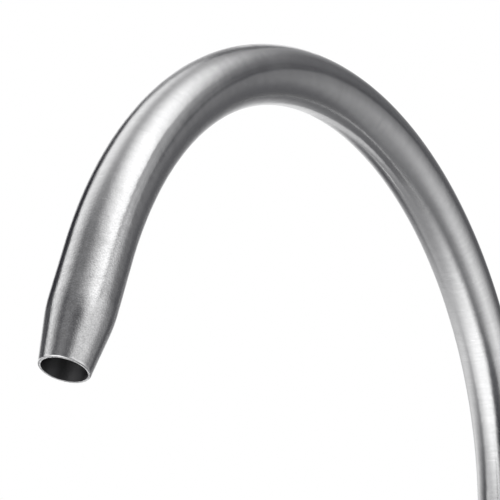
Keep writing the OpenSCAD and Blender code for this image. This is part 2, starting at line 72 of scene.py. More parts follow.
# Points round a small, a plain, a wide and the widest turned piece
SMALL, ROUND, WIDE, WIDEST = 64, 96, 128, 144

# Degrees from which an edge is drawn sharp: on a grip, a nut, a thread, a mesh of the frame and a cut piece
GRIP_EDGE, NUT_EDGE, THREAD_EDGE, FRAME_EDGE, CUT_EDGE = 12.0, 22.0, 25.0, 28.0, 30.0

# Points closer to the axis than this lie on it
ON_AXIS = 1e-6


class Slot(Enum):
    """The record's material slots."""

    BRUSHED_STEEL = "brushed_steel"
    PLATED_STEEL = "plated_steel"
    BRASS = "brass"
    BLACK_RUBBER = "black_rubber"
    RED_FIBRE = "red_fibre"
    SLIDE_PLASTIC = "slide_plastic"
    DISC_CERAMIC = "disc_ceramic"
    WHITE_PLASTIC = "white_plastic"
    GREY_PLASTIC = "grey_plastic"


SLOT_OF = {part["node"]: Slot(part["material_slot"]) for part in frame["record"]["subparts"]}


class Cut(Enum):
    """What a cutter leaves of a piece."""

    AWAY = "DIFFERENCE"
    COMMON = "INTERSECT"


# Paths and outlines


class Station(NamedTuple):
    """A place along a path: its middle, two directions across the path and the direction ahead."""

    middle: Vector
    across: Vector
    aside: Vector
    ahead: Vector


class Path(Protocol):
    """What an outline is turned about."""

    def station(self, s: float) -> Station:
        """The place at a distance along the path."""


@dataclass(frozen=True)
class StraightPath:
    """A straight axis.

    Args:
        place: turns and moves +Z onto the axis.
    """

    place: Matrix

    def station(self, s: float) -> Station:
        """The place at a distance along the axis."""
        turn = self.place.to_3x3()
        return Station(self.place @ Vector((0, 0, s)), *(turn.col[k].copy() for k in range(3)))


@dataclass(frozen=True)
class GooseneckPath:
    """The spout's middle line: up the riser, round the bend and down the straight end.

    Args:
        start_z: height of the tube's lower end.
        bend_z: height at which the bend starts.
        bend_r: radius of the bend.
        bend_deg: angle of the bend.
    """

    start_z: float
    bend_z: float
    bend_r: float
    bend_deg: float

    @property
    def riser(self) -> float:
        """Length of the riser."""
        return self.bend_z - self.start_z

    @property
    def bend_len(self) -> float:
        """Length of the bend along its middle."""
        return math.radians(self.bend_deg) * self.bend_r

    def station(self, s: float) -> Station:
        """The place at a distance from the tube's lower end; its first direction points out of the bend.

        Args:
            s: distance along the middle line.

        Returns:
            The place.
        """
        angle = min(max((s - self.riser) / self.bend_r, 0.0), math.radians(self.bend_deg))
        out = Vector((0, math.cos(angle), math.sin(angle)))
        ahead = Vector((0, -math.sin(angle), math.cos(angle)))
        straight = min(s - self.riser, 0.0) + max(s - self.riser - self.bend_len, 0.0)
        middle = Vector((0, -self.bend_r, self.bend_z)) + self.bend_r * out + straight * ahead
        return Station(middle, out, Vector((1, 0, 0)), ahead)


UPRIGHT = StraightPath(Matrix.Identity(4))


@dataclass(frozen=True)
class Reach:
    """How far a node of the frame reaches.

    Args:
        r: its half width.
        low: where it starts along its axis.
        high: where it ends.
    """

    r: float
    low: float
    high: float


def reach(node: str, path: StraightPath = UPRIGHT) -> Reach:
    """Measures a node of the frame.

    Args:
        node: its name.
        path: its axis, which is upright or runs along X.

    Returns:
        Its reach.
    """
    low, high = (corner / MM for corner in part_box(node))
    along = 0 if path.station(0.0).ahead.x > 0.5 else 2
    return Reach(round((high.y - low.y) / 2 / RADIUS_STEP) * RADIUS_STEP, low[along], high[along])


@dataclass(frozen=True)
class Corner:
    """A corner of a turned outline.

    Args:
        r: distance from the axis.
        s: distance along the axis.
        soft: length cut off both edges where the corner is rounded.
    """

    r: float
    s: float
    soft: float = PLAIN


# A corner as outlines write it down: r, s and, where it isn't a plain corner, soft
Row = tuple[float, float] | tuple[float, float, float]


@dataclass(frozen=True)
class OutlinePoint:
    """A point of a rounded outline, with its outward normal and how worn it is."""

    r: float
    s: float
    normal_r: float
    normal_s: float
    worn: float


def rounded_corner(corner: Corner, back: Vector, on: Vector, side: float, steps: int) -> list[OutlinePoint]:
    """Rounds one corner of an outline.

    Args:
        corner: the corner.
        back: the way from it to the corner before.
        on: the way from it to the next corner.
        side: 1 where the outline runs anticlockwise, else -1.
        steps: number of short edges that it gets.

    Returns:
        Its points.
    """
    sharpest_unworn = math.radians(12)
    longest_share = 0.45
    here = Vector((corner.r, corner.s))
    soft = min(corner.soft, longest_share * back.length, longest_share * on.length)
    half_turn = (math.pi - back.angle(on)) / 2
    start, end = here + back.normalized() * soft, here + on.normalized() * soft
    points = []
    for k in range(steps + 1):
        t = k / steps
        shares = ((1 - t) ** 2, 2 * math.cos(half_turn) * t * (1 - t), t * t)
        point = (start * shares[0] + here * shares[1] + end * shares[2]) / sum(shares)
        along = (-back.normalized()).lerp(on.normalized(), t).normalized()
        points.append(OutlinePoint(point.x, point.y, side * along.y, -side * along.x,
                                   float(half_turn > sharpest_unworn)))
    return points


def edge_points(last: OutlinePoint, first: OutlinePoint, longest: float) -> list[OutlinePoint]:
    """Adds points to a straight edge: one close to each end, which keeps the corners crisp, and more between.

    Args:
        last: the last point of the corner before the edge.
        first: the first point of the corner after it.
        longest: longest step allowed.

    Returns:
        The added points.
    """
    rim = 0.3
    gap = math.hypot(first.r - last.r, first.s - last.s)
    if gap < 3 * rim:
        return []
    count = max(1, math.ceil((gap - 2 * rim) / longest))
    points = []
    for share in ((rim + (gap - 2 * rim) * k / count) / gap for k in range(count + 1)):
        r, s = last.r + (first.r - last.r) * share, last.s + (first.s - last.s) * share
        points.append(replace(first, r=r, s=s, worn=0.0))
    return points


def rounded_outline(corners: Sequence[Corner], longest: float, steps: int) -> list[OutlinePoint]:
    """Rounds a closed outline's corners and adds points to its edges.

    Args:
        corners: the outline's corners in order; its first and last corner are joined.
        longest: longest step along a straight edge.
        steps: number of short edges in a rounded corner.

    Returns:
        The points of the closed outline, with the first one repeated at its end.
    """
    area = sum(a.r * b.s - b.r * a.s for a, b in zip(corners, [*corners[1:], corners[0]]))
    places = [Vector((corner.r, corner.s)) for corner in corners]
    points: list[OutlinePoint] = []
    for i, corner in enumerate(corners):
        back, on = places[i - 1] - places[i], places[(i + 1) % len(places)] - places[i]
        arc = rounded_corner(corner, back, on, math.copysign(1.0, area), steps)
        points += (edge_points(points[-1], arc[0], longest) if points else []) + arc
    return points + edge_points(points[-1], points[0], longest) + points[:1]


def ring_rows(outer: float, inner: float, low: float, high: float, soft: float = PLAIN) -> list[Row]:
    """Writes down the four corners of a flat ring's outline.

    Args:
        outer: outer radius.
        inner: inner radius.
        low: where it starts along the axis.
        high: where it ends.
        soft: rounding of its corners.

    Returns:
        The rows.
    """
    return [(inner, low, soft), (outer, low, soft), (outer, high, soft), (inner, high, soft)]


# Meshes


def put_in_scene(name: str, data: bpy.types.ID) -> bpy.types.Object:
    """Makes an object and puts it in the scene.

    Args:
        name: its name.
        data: its mesh, lamp or camera.

    Returns:
        The object.
    """
    made = bpy.data.objects.new(name, data)
    bpy.context.scene.collection.objects.link(made)
    return made


def plain_mesh(name: str, points: Sequence[Sequence[float]],
               faces: Sequence[Sequence[int]]) -> bpy.types.Mesh:
    """Makes a mesh.

    Args:
        name: its name.
        points: its points, in metres.
        faces: the numbers of each face's points.

    Returns:
        The mesh.
    """
    made = bpy.data.meshes.new(name)
    made.from_pydata(points, [], faces)
    return made


class Skin:
    """One piece's surface while it is made: points, normals, faces and what its finish reads from it."""

    def __init__(self) -> None:
        """Starts with nothing."""
        self.points: list[Vector] = []
        self.normals: list[Vector] = []
        self.marks: dict[str, list[float]] = {WORN: [], BORE: [], TOOLED: []}
        self.faces: list[tuple[int, ...]] = []
        self.uvs: list[tuple[tuple[float, float], ...]] = []

    def turn(self, rows: Sequence[Row], path: Path = UPRIGHT, sides: int = ROUND,
             longest: float = math.inf, steps: int = 4,
             tooled: Callable[[float], float] | None = None) -> "Skin":
        """Turns an outline about a straight or bent path.

        Args:
            rows: the closed outline.
            path: what it is turned about.
            sides: number of points round the path.
            longest: longest step along it.
            steps: number of short edges in a rounded corner.
            tooled: how tool-marked the skin is at a distance along the path, not at all if none is given.

        Returns:
            This skin, so that calls can follow each other.
        """
        outline = rounded_outline([Corner(*row) for row in rows], longest, steps)
        rings = [self._ring(point, path, sides, tooled(point.s) if tooled else 0.0) for point in outline[:-1]]
        length = 0.0
        for low, high, a, b in zip(rings, [*rings[1:], rings[0]], outline, outline[1:]):
            start, length = length, length + math.hypot(b.r - a.r, b.s - a.s)
            if len(low) > 1 or len(high) > 1:
                self._join(low, high, start, length, sides)
        return self

    def _ring(self, point: OutlinePoint, path: Path, sides: int, tooled: float) -> list[int]:
        """Adds the points of one ring.

        Args:
            point: the outline's point that is turned.
            path: what it is turned about.
            sides: number of points of the ring.
            tooled: how tool-marked it is.

        Returns:
            The numbers of the points, or of the single one that a point on the axis gives.
        """
        middle, across, aside, ahead = path.station(point.s)
        on_axis = point.r < ON_AXIS
        first = len(self.points)
        for k in range(1 if on_axis else sides):
            angle = math.tau * k / sides
            out = across * math.cos(angle) + aside * math.sin(angle)
            aim = ahead * point.normal_s + out * (0.0 if on_axis else point.normal_r)
            self.points.append((middle + out * (0.0 if on_axis else point.r)) * MM)
            self.normals.append(aim.normalized())
            for mark, value in ((WORN, point.worn), (BORE, max(0.0, -point.normal_r)), (TOOLED, tooled)):
                self.marks[mark].append(value)
        return list(range(first, len(self.points)))

    def _join(self, low: list[int], high: list[int], start: float, end: float, sides: int) -> None:
        """Adds the faces between two rings.

        Args:
            low: the first ring's points.
            high: the second ring's points.
            start: the first ring's distance along the skin.
            end: the second ring's distance.
            sides: number of points round the path.
        """
        for k in range(sides):
            on = (k + 1) % sides
            u, v = k / sides, (k + 1) / sides
            if len(low) == 1:
                face, uv = (low[0], high[on], high[k]), ((u, start), (v, end), (u, end))
            elif len(high) == 1:
                face, uv = (low[k], low[on], high[0]), ((u, start), (v, start), (u, end))
            else:
                face, uv = (low[k], low[on], high[on], high[k]), ((u, start), (v, start), (v, end), (u, end))
            a, b, c = (self.points[i] for i in face[:3])
            if (b - a).cross(c - a).dot(self.normals[face[0]] + self.normals[face[2]]) < 0:
                face, uv = face[::-1], uv[::-1]
            self.faces.append(face)
            self.uvs.append(uv)

    def mesh(self, name: str) -> bpy.types.Mesh:
        """Makes the mesh, with its normals, its unrolled map and its marks.

        Args:
            name: the mesh's name.

        Returns:
            The mesh.
        """
        made = plain_mesh(name, [tuple(p) for p in self.points], self.faces)
        layer = made.uv_layers.new(name=TURNED)
        layer.data.foreach_set("uv", [value for face in self.uvs for corner in face for value in corner])
        for mark, values in self.marks.items():
            made.attributes.new(mark, "FLOAT", "POINT").data.foreach_set("value", values)
        made.shade_smooth()
        made.normals_split_custom_set_from_vertices([tuple(n) for n in self.normals])
        return made

    def piece(self, name: str) -> bpy.types.Object:
        """Makes the object, in place in the frame."""
        return put_in_scene(name, self.mesh(name))


def prism(name: str, r: float, sides: int, low: float, high: float, path: Path = UPRIGHT) -> bpy.types.Object:
    """Makes a straight prism about an axis.

    Args:
        name: the object's name.
        r: distance of its edges from the axis.
        sides: number of its sides.
        low: where it starts along the axis.
        high: where it ends.
        path: the axis.

    Returns:
        The prism.
    """
    points = []
    for s in (low, high):
        middle, across, aside, _ = path.station(s)
        for angle in (math.tau * k / sides for k in range(sides)):
            points.append((middle + (across * math.cos(angle) + aside * math.sin(angle)) * r) * MM)
    faces = [tuple(range(sides))[::-1], tuple(range(sides, 2 * sides))]
    faces += [(k, (k + 1) % sides, sides + (k + 1) % sides, sides + k) for k in range(sides)]
    return put_in_scene(name, plain_mesh(name, points, faces))


def carve(piece: bpy.types.Object, cutter: bpy.types.Object, cut: Cut) -> None:
    """Cuts a piece with another, and removes the cutter.

    Args:
        piece: the piece that stays.
        cutter: the piece that cuts.
        cut: what is left.
    """
    step = piece.modifiers.new("carve", "BOOLEAN")
    step.operation, step.object, step.solver = cut.value, cutter, "EXACT"
    bpy.context.view_layer.update()
    made = bpy.data.meshes.new_from_object(piece.evaluated_get(bpy.context.evaluated_depsgraph_get()))
    piece.modifiers.clear()
    old, piece.data = piece.data, made
    bpy.data.meshes.remove(old)
    bpy.data.objects.remove(cutter)


def join(mesh: bpy.types.Mesh, other: bpy.types.Mesh) -> None:
    """Adds another mesh to a mesh, and drops points without faces.

    Args:
        mesh: the mesh that grows.
        other: the mesh that is added, and then removed.
    """
    both = bmesh.new()
    both.from_mesh(mesh)
    both.from_mesh(other)
    bmesh.ops.delete(both, geom=[v for v in both.verts if not v.link_faces], context="VERTS")
    both.to_mesh(mesh)
    both.free()
    bpy.data.meshes.remove(other)


def crease(piece: bpy.types.Object, degrees: float) -> None:
    """Shades a piece smooth, apart from edges that turn more than an angle."""
    piece.data.shade_smooth()
    piece.data.set_sharp_from_angle(angle=math.radians(degrees))


# Shader wiring and shared effects


class Kind(Enum):
    """Kinds of socket that a node group has."""

    NUMBER = "NodeSocketFloat"
    ARROW = "NodeSocketVector"
    TINT = "NodeSocketColor"


class Wiring:
    """A node tree, with short calls for adding nodes and joining them.

    Args:
        tree: the tree to fill.
    """

    def __init__(self, tree: bpy.types.NodeTree) -> None:
        """Takes the tree."""
        self.tree = tree

    def put(self, socket: bpy.types.NodeSocket, value: object) -> None:
        """Links a socket, or sets it.

        Args:
            socket: the socket.
            value: another socket, to be linked, or else a value; a colour has three parts.
        """
        if isinstance(value, bpy.types.NodeSocket):
            self.tree.links.new(value, socket)
        elif isinstance(value, tuple) and len(value) == 3 and socket.type == "RGBA":
            socket.default_value = (*value, 1.0)
        else:
            socket.default_value = value

    def fill(self, node: bpy.types.Node, **values: object) -> bpy.types.Node:
        """Links or sets a node's sockets.

        Args:
            node: the node.
            **values: what each socket gets, by its name, with _ for a space.

        Returns:
            The node.
        """
        for name, value in values.items():
            self.put(node.inputs[name.replace("_", " ")], value)
        return node

    def add(self, kind: str, **values: object) -> bpy.types.Node:
        """Adds a node and fills its sockets."""
        return self.fill(self.tree.nodes.new(kind), **values)

    def group(self, tree: bpy.types.NodeTree, **values: object) -> bpy.types.Node:
        """Places a node group.

        Args:
            tree: the group.
            **values: what each of its inputs gets.

        Returns:
            The group's node.
        """
        node = self.tree.nodes.new("ShaderNodeGroup")
        node.node_tree = tree
        return self.fill(node, **values)

    def mark(self, name: str) -> bpy.types.NodeSocket:
        """Reads one of a skin's marks.

        Args:
            name: the mark.

        Returns:
            Its value.
        """
        node = self.tree.nodes.new("ShaderNodeAttribute")
        node.attribute_name = name
        return node.outputs["Fac"]

    def math(self, operation: str, *terms: object) -> bpy.types.NodeSocket:
        """Adds a Math node.

        Args:
            operation: its operation.
            *terms: its inputs, sockets or numbers.

        Returns:
            Its output.
        """
        node = self.tree.nodes.new("ShaderNodeMath")
        node.operation = operation
        for socket, term in zip(node.inputs, terms):
            self.put(socket, term)
        return node.outputs[0]

    def times(self, *factors: object) -> bpy.types.NodeSocket:
        """Multiplies values.

        Args:
            *factors: two or more sockets or numbers.

        Returns:
            Their product.
        """
        made = factors[0]
        for factor in factors[1:]:
            made = self.math("MULTIPLY", made, factor)
        return made

    def dot(self, a: object, b: object) -> bpy.types.NodeSocket:
        """Multiplies two vectors.

        Args:
            a: the first.
            b: the second.

        Returns:
            Their dot product.
        """
        node = self.tree.nodes.new("ShaderNodeVectorMath")
        node.operation = "DOT_PRODUCT"
        self.put(node.inputs[0], a)
        self.put(node.inputs[1], b)
        return node.outputs["Value"]

    def ramp(self, value: object, low: float, high: float, to_low: float = 0.0, to_high: float = 1.0,
             smooth: bool = True) -> bpy.types.NodeSocket:
        """Maps a value from one range to another, kept inside the second.

        Args:
            value: the value.
            low: start of the first range.
            high: end of the first range.
            to_low: start of the second range.
            to_high: end of the second range.
            smooth: eases both ends.

        Returns:
            The mapped value.
        """
        node = self.add("ShaderNodeMapRange", Value=value, From_Min=low, From_Max=high, To_Min=to_low,
                        To_Max=to_high)
        node.interpolation_type = "SMOOTHSTEP" if smooth else "LINEAR"
        return node.outputs[0]

    def mix(self, share: object, a: object, b: object) -> bpy.types.NodeSocket:
        """Mixes two colours.

        Args:
            share: share of the second.
            a: the first.
            b: the second.

        Returns:
            The mixed colour.
        """
        node = self.tree.nodes.new("ShaderNodeMix")
        node.data_type = "RGBA"
        for socket, term in ((node.inputs[0], share), (node.inputs[6], a), (node.inputs[7], b)):
            self.put(socket, term)
        return node.outputs[2]

    def noise(self, place: object, scale: object, detail: float = 2.0,
              rough: float = 0.5) -> bpy.types.NodeSocket:
        """Adds a noise texture and returns its value."""
        node = self.add("ShaderNodeTexNoise", Vector=place, Scale=scale, Detail=detail, Roughness=rough)
        return node.outputs[0]

    def wrapped(self, turned: object, around: object, along: object) -> bpy.types.NodeSocket:
        """A place for noise on a turned piece, which closes on itself round the axis.

        Args:
            turned: the unrolled map.
            around: how fast the place moves round the piece.
            along: how fast it moves along it.

        Returns:
            The place.
        """
        split = self.add("ShaderNodeSeparateXYZ", Vector=turned).outputs
        angle = self.math("MULTIPLY", split[0], math.tau)
        x, y = (self.times(self.math(part, angle), around) for part in ("COSINE", "SINE"))
        return self.add("ShaderNodeCombineXYZ", X=x, Y=y, Z=self.times(split[1], along)).outputs[0]


class GroupStart(NamedTuple):
    """A node group that is begun: its wiring, its inputs by name and its outputs by name."""

    w: Wiring
    given: dict[str, bpy.types.NodeSocket]
    out: dict[str, bpy.types.NodeSocket]


def sockets(kind: Kind, *names: str) -> dict[str, Kind]:
    """Lists sockets of one kind."""
    return dict.fromkeys(names, kind)


def start_group(name: str, inputs: dict[str, Kind], outputs: dict[str, Kind]) -> GroupStart:
    """Begins a node group.

    Args:
        name: the group's name.
        inputs: the kind of each input.
        outputs: the kind of each output.

    Returns:
        The group that is begun.
    """
    tree = bpy.data.node_groups.new(name, "ShaderNodeTree")
    for kinds, side in ((inputs, "INPUT"), (outputs, "OUTPUT")):
        for title, kind in kinds.items():
            tree.interface.new_socket(title, in_out=side, socket_type=kind.value)
    source, sink = tree.nodes.new("NodeGroupInput"), tree.nodes.new("NodeGroupOutput")
    return GroupStart(Wiring(tree), dict(source.outputs.items()), dict(sink.inputs.items()))


class Effects:
    """The shader node groups that the finishes and the studio share, each made once."""

    @cached_property
    def brushing(self) -> bpy.types.NodeTree:
        """Fine lines that run round a turned piece, and the streaks that they gather in.

        Returns:
            The group.
        """
        w, given, out = start_group(
            "brushing", sockets(Kind.ARROW, "Turned") | sockets(Kind.NUMBER, "Lines", "Run"),
            sockets(Kind.NUMBER, "Lines", "Height"))
        lines = w.noise(w.wrapped(given["Turned"], given["Run"], given["Lines"]), 1.0, 3.0, 0.65)
        wide = w.wrapped(given["Turned"], w.times(given["Run"], 0.6), w.times(given["Lines"], 0.28))
        both = w.math("ADD", w.times(lines, 0.6), w.times(w.noise(wide, 1.0), 0.4))
        w.put(out["Lines"], w.ramp(both, 0.3, 0.7, smooth=False))
        w.put(out["Height"], lines)
        return w.tree

    @cached_property
    def mottling(self) -> bpy.types.NodeTree:
        """Small dull flecks, a little longer round the piece than along it.

        Returns:
            The group.
        """
        w, given, out = start_group(
            "mottling", sockets(Kind.ARROW, "Turned") | sockets(Kind.NUMBER, "Round", "Along"),
            sockets(Kind.NUMBER, "Flecks"))
        place = w.wrapped(given["Turned"], given["Round"], given["Along"])
        fine, wide = w.noise(place, 1.0, 2.0, 0.7), w.noise(place, 0.22)
        both = w.math("ADD", w.times(fine, 0.65), w.times(wide, 0.35))
        w.put(out["Flecks"], w.ramp(both, 0.36, 0.62, 1.0, 0.0))
        return w.tree

    @cached_property
    def scuffs(self) -> bpy.types.NodeTree:
        """A few short hair-thin marks that run round the piece, some of them close together.

        Returns:
            The group.
        """
        w, given, out = start_group(
            "scuffs", sockets(Kind.ARROW, "Turned") | sockets(Kind.NUMBER, "Round", "Along"),
            sockets(Kind.NUMBER, "Marks"))
        place = w.wrapped(given["Turned"], given["Round"], given["Along"])
        hair = w.ramp(w.noise(place, 1.0, 0.0), 0.78, 0.84)
        near = w.ramp(w.noise(place, 0.09, 0.0), 0.5, 0.6)
        w.put(out["Marks"], w.times(hair, near))
        return w.tree

    @cached_property
    def clouding(self) -> bpy.types.NodeTree:
        """Slow changes over a surface, as from handling, and a fine grain.

        Returns:
            The group.
        """
        w, given, out = start_group(
            "clouding", sockets(Kind.ARROW, "Place") | sockets(Kind.NUMBER, "Cloud Scale", "Grain Scale"),
            sockets(Kind.NUMBER, "Cloud", "Grain"))
        w.put(out["Cloud"], w.ramp(w.noise(given["Place"], given["Cloud Scale"], 3.0), 0.32, 0.68))
        w.put(out["Grain"], w.noise(given["Place"], given["Grain Scale"], 1.0))
        return w.tree

    @cached_property
    def edge_wear(self) -> bpy.types.NodeTree:
        """Where edges are rubbed bright, broken up by a little noise.

        Returns:
            The group.
        """
        w, given, out = start_group(
            "edge_wear", sockets(Kind.NUMBER, "Worn", "Amount") | sockets(Kind.ARROW, "Place"),
            sockets(Kind.NUMBER, "Rubbed"))
        broken = w.ramp(w.noise(given["Place"], 900.0), 0.35, 0.6, 0.35, 1.0)
        w.put(out["Rubbed"], w.times(given["Worn"], broken, given["Amount"]))
        return w.tree

    @cached_property
    def soft_panel(self) -> bpy.types.NodeTree:
        """One soft-edged panel of the studio, painted by direction over what is behind it.

        Returns:
            The group.
        """
        w, given, out = start_group(
            "soft_panel", sockets(Kind.TINT, "Behind", "Level")
            | sockets(Kind.ARROW, "Direction", "Middle", "Across", "Above")
            | sockets(Kind.NUMBER, "Half Width", "Half Height", "Softness"), sockets(Kind.TINT, "Light"))
        ahead, across, above = (w.dot(given["Direction"], given[name])
                                for name in ("Middle", "Across", "Above"))
        turned = w.math("ARCTAN2", across, ahead)
        raised = w.math("ARCSINE", w.math("MAXIMUM", w.math("MINIMUM", above, 1.0), -1.0))
        shares = []
        for angle, half in ((turned, given["Half Width"]), (raised, given["Half Height"])):
            inside = w.math("SUBTRACT", half, w.math("ABSOLUTE", angle))
            shares.append(w.ramp(w.math("ADD", w.math("DIVIDE", inside, given["Softness"]), 0.5), 0.0, 1.0))
        w.put(out["Light"], w.mix(w.times(*shares), given["Behind"], given["Level"]))
        return w.tree


# Finishes


Colour = tuple[float, float, float]


class MaterialStart(NamedTuple):
    """A material that is begun: its wiring, its shader and what every finish reads from its piece."""

    material: bpy.types.Material
    w: Wiring
    shader: bpy.types.Node
    place: bpy.types.NodeSocket
    cloud: bpy.types.NodeSocket
    grain: bpy.types.NodeSocket
    rubbed: bpy.types.NodeSocket


def empty_material(name: str) -> tuple[bpy.types.Material, Wiring]:
    """Makes a material with no nodes.

    Args:
        name: its name.

    Returns:
        The material and its wiring.
    """
    made = bpy.data.materials.new(name)
    made.use_nodes = True
    made.node_tree.nodes.clear()
    return made, Wiring(made.node_tree)


@dataclass(frozen=True)
class Finish:
    """What every finish has.

    Args:
        slot: its material slot.
        colour: its colour.
        roughness: how rough it is.
        cloud_scale: how close together its slow changes are, per metre.
        grain_scale: how fine its grain is, per metre.
        rub: how bright its edges are rubbed.
    """

    slot: Slot
    colour: Colour
    roughness: float
    cloud_scale: float = 110.0
    grain_scale: float = 2500.0
    rub: float = 0.5

    def start(self, effects: Effects) -> MaterialStart:
        """Begins the material.

        Args:
            effects: the shared node groups.

        Returns:
            The material that is begun.
        """
        made, w = empty_material(self.slot.value)
        shader = w.add("ShaderNodeBsdfPrincipled")
        w.add("ShaderNodeOutputMaterial", Surface=shader.outputs[0])
        place = w.add("ShaderNodeTexCoord").outputs["Object"]
        cloud, grain = w.group(effects.clouding, Place=place, Cloud_Scale=self.cloud_scale,
                               Grain_Scale=self.grain_scale).outputs
        wear = w.group(effects.edge_wear, Worn=w.mark(WORN), Place=place, Amount=self.rub)
        return MaterialStart(made, w, shader, place, cloud, grain, wear.outputs[0])

    def shade(self, factor: float) -> Colour:
        """This finish's colour, made lighter or darker."""
        return tuple(min(1.0, part * factor) for part in self.colour)

    def material(self, effects: Effects) -> bpy.types.Material:
        """Makes the material out of the shared effects."""
        raise NotImplementedError


@dataclass(frozen=True)
class BrushedSteel(Finish):
    """Satin stainless steel, brushed round the piece, rubbed bright on its edges, and rougher inside its
    bores, where painted shade darkens its colour.

    Args:
        lines: brushed lines in a millimetre.
        run: how short the lines are, round the piece.
        spread: how much further the gloss spreads across the lines than along them.
        line_shades: how dark and how light the lines are.
        fleck_scale: how small the dull flecks are, round the piece and along it.
        fleck_shade: how dark they are.
        scuff_scale: how small the hair-thin marks are, round the piece and along it.
        scuff_share: how strong they are.
        rub_shade: how light rubbed edges and marks are.
        line_depth: how deep the lines and the faint waves are, in metres.
        grain_depth: how deep the grain is, in metres.
        wave_scale: how close together the faint waves are, per metre.
        bore_painted_shade: painted shade, the dark colour put inside bores.
    """

    cloud_scale: float = 95.0
    grain_scale: float = 3800.0
    rub: float = 0.8
    lines: float = 4.0
    run: float = 1.6
    spread: float = 0.95
    line_shades: tuple[float, float] = (0.93, 1.05)
    fleck_scale: tuple[float, float] = (17.0, 3.6)
    fleck_shade: float = 0.76
    scuff_scale: tuple[float, float] = (3.5, 5.0)
    scuff_share: float = 0.8
    rub_shade: float = 1.3
    line_depth: float = 0.0001
    grain_depth: float = 0.00003
    wave_scale: float = 260.0
    # Painted shade: a dark colour that stands in for the shade inside bores
    bore_painted_shade: Colour = (0.19, 0.19, 0.195)

    def material(self, effects: Effects) -> bpy.types.Material:
        """Makes the material.

        Args:
            effects: the shared node groups.

        Returns:
            The material.
        """
        begun = self.start(effects)
        w = begun.w
        unrolled, along = w.add("ShaderNodeUVMap"), w.add("ShaderNodeTangent")
        unrolled.uv_map = along.uv_map = TURNED
        along.direction_type = "UV_MAP"
        turned = unrolled.outputs[0]
        lines, height = w.group(effects.brushing, Turned=turned, Lines=self.lines, Run=self.run).outputs
        flecks, scuffs = (
            w.group(effect, Turned=turned, Round=scale[0], Along=scale[1]).outputs[0]
            for effect, scale in ((effects.mottling, self.fleck_scale), (effects.scuffs, self.scuff_scale)))
        marks = w.times(scuffs, self.scuff_share)
        # The quarter turn spreads the gloss along the piece, across its lines
        w.fill(begun.shader, Base_Color=self._base(begun, lines, flecks, marks),
               Roughness=self._gloss(begun, lines), Normal=self._relief(begun, height, marks), Metallic=1.0,
               Tangent=along.outputs[0], Anisotropic=self.spread, Anisotropic_Rotation=0.25)
        return begun.material

    def _base(self, begun: MaterialStart, lines: bpy.types.NodeSocket, flecks: bpy.types.NodeSocket,
              marks: bpy.types.NodeSocket) -> bpy.types.NodeSocket:
        """Mixes the colour.

        Args:
            begun: the material that is begun.
            lines: the brushed lines.
            flecks: the dull flecks.
            marks: the hair-thin marks.

        Returns:
            The colour.
        """
        w = begun.w
        base = w.mix(lines, *(self.shade(factor) for factor in self.line_shades))
        base = w.mix(w.times(begun.cloud, 0.5), base, self.shade(0.96))
        fleck_share = w.math("ADD", w.times(w.mark(TOOLED), 0.8), 0.2)
        base = w.mix(w.times(flecks, fleck_share), base, self.shade(self.fleck_shade))
        base = w.mix(w.math("MAXIMUM", begun.rubbed, w.times(marks, 0.6)), base, self.shade(self.rub_shade))
        # Painted shade: surfaces facing into a bore are darkened towards a dark grey
        return w.mix(w.ramp(w.mark(BORE), 0.3, 0.8), base, self.bore_painted_shade)

    def _gloss(self, begun: MaterialStart, lines: bpy.types.NodeSocket) -> bpy.types.NodeSocket:
        """Works out the roughness: finer where lines are deep or edges rubbed, coarser in a bore.

        Args:
            begun: the material that is begun.
            lines: the brushed lines.

        Returns:
            The roughness.
        """
        w = begun.w
        rough = w.ramp(lines, 0.0, 1.0, self.roughness * 1.12, self.roughness * 0.88, smooth=False)
        for share, change in ((begun.cloud, 0.03), (begun.rubbed, -0.06), (w.mark(BORE), 0.25)):
            rough = w.math("ADD", rough, w.times(share, change))
        return w.math("SUBTRACT", rough, 0.015)

    def _relief(self, begun: MaterialStart, height: bpy.types.NodeSocket,
                marks: bpy.types.NodeSocket) -> bpy.types.NodeSocket:
        """Adds up the bumps.

        Args:
            begun: the material that is begun.
            height: how deep the brushed lines are.
            marks: the hair-thin marks.

        Returns:
            The normal.
        """
        w = begun.w
        scored = w.math("SUBTRACT", height, w.times(marks, 0.4))
        lines = w.add("ShaderNodeBump", Height=scored, Strength=0.05, Distance=self.line_depth)
        grained = w.ramp(w.mark(TOOLED), 0.0, 1.0, 0.25, 0.6)
        grain = w.add("ShaderNodeBump", Height=begun.grain, Strength=grained, Distance=self.grain_depth,
                      Normal=lines.outputs[0])
        waves = w.noise(begun.place, self.wave_scale)
        return w.add("ShaderNodeBump", Height=waves, Strength=0.6, Distance=self.line_depth,
                     Normal=grain.outputs[0]).outputs[0]


@dataclass(frozen=True)
class WorkedMetal(Finish):
    """Bare or plated metal: fine grain, a little staining and bright edges.

    Args:
        stain: the stains' colour.
    """

    cloud_scale: float = 140.0
    grain_scale: float = 4200.0
    rub: float = 0.7
    stain: Colour = (0.3, 0.3, 0.3)

    def material(self, effects: Effects) -> bpy.types.Material:
        """Makes the material.

        Args:
            effects: the shared node groups.

        Returns:
            The material.
        """
        begun = self.start(effects)
        w = begun.w
        stained = w.times(begun.cloud, 0.3)
        base = w.mix(begun.rubbed, w.mix(stained, self.colour, self.stain), self.shade(1.25))
        grained = w.ramp(begun.grain, 0.3, 0.7, self.roughness - 0.05, self.roughness + 0.07)
        bump = w.add("ShaderNodeBump", Height=begun.grain, Strength=0.12, Distance=0.00006)
        w.fill(begun.shader, Base_Color=base, Roughness=w.math("ADD", grained, w.times(stained, 0.3)),
               Metallic=1.0, Normal=bump.outputs[0])
        return begun.material


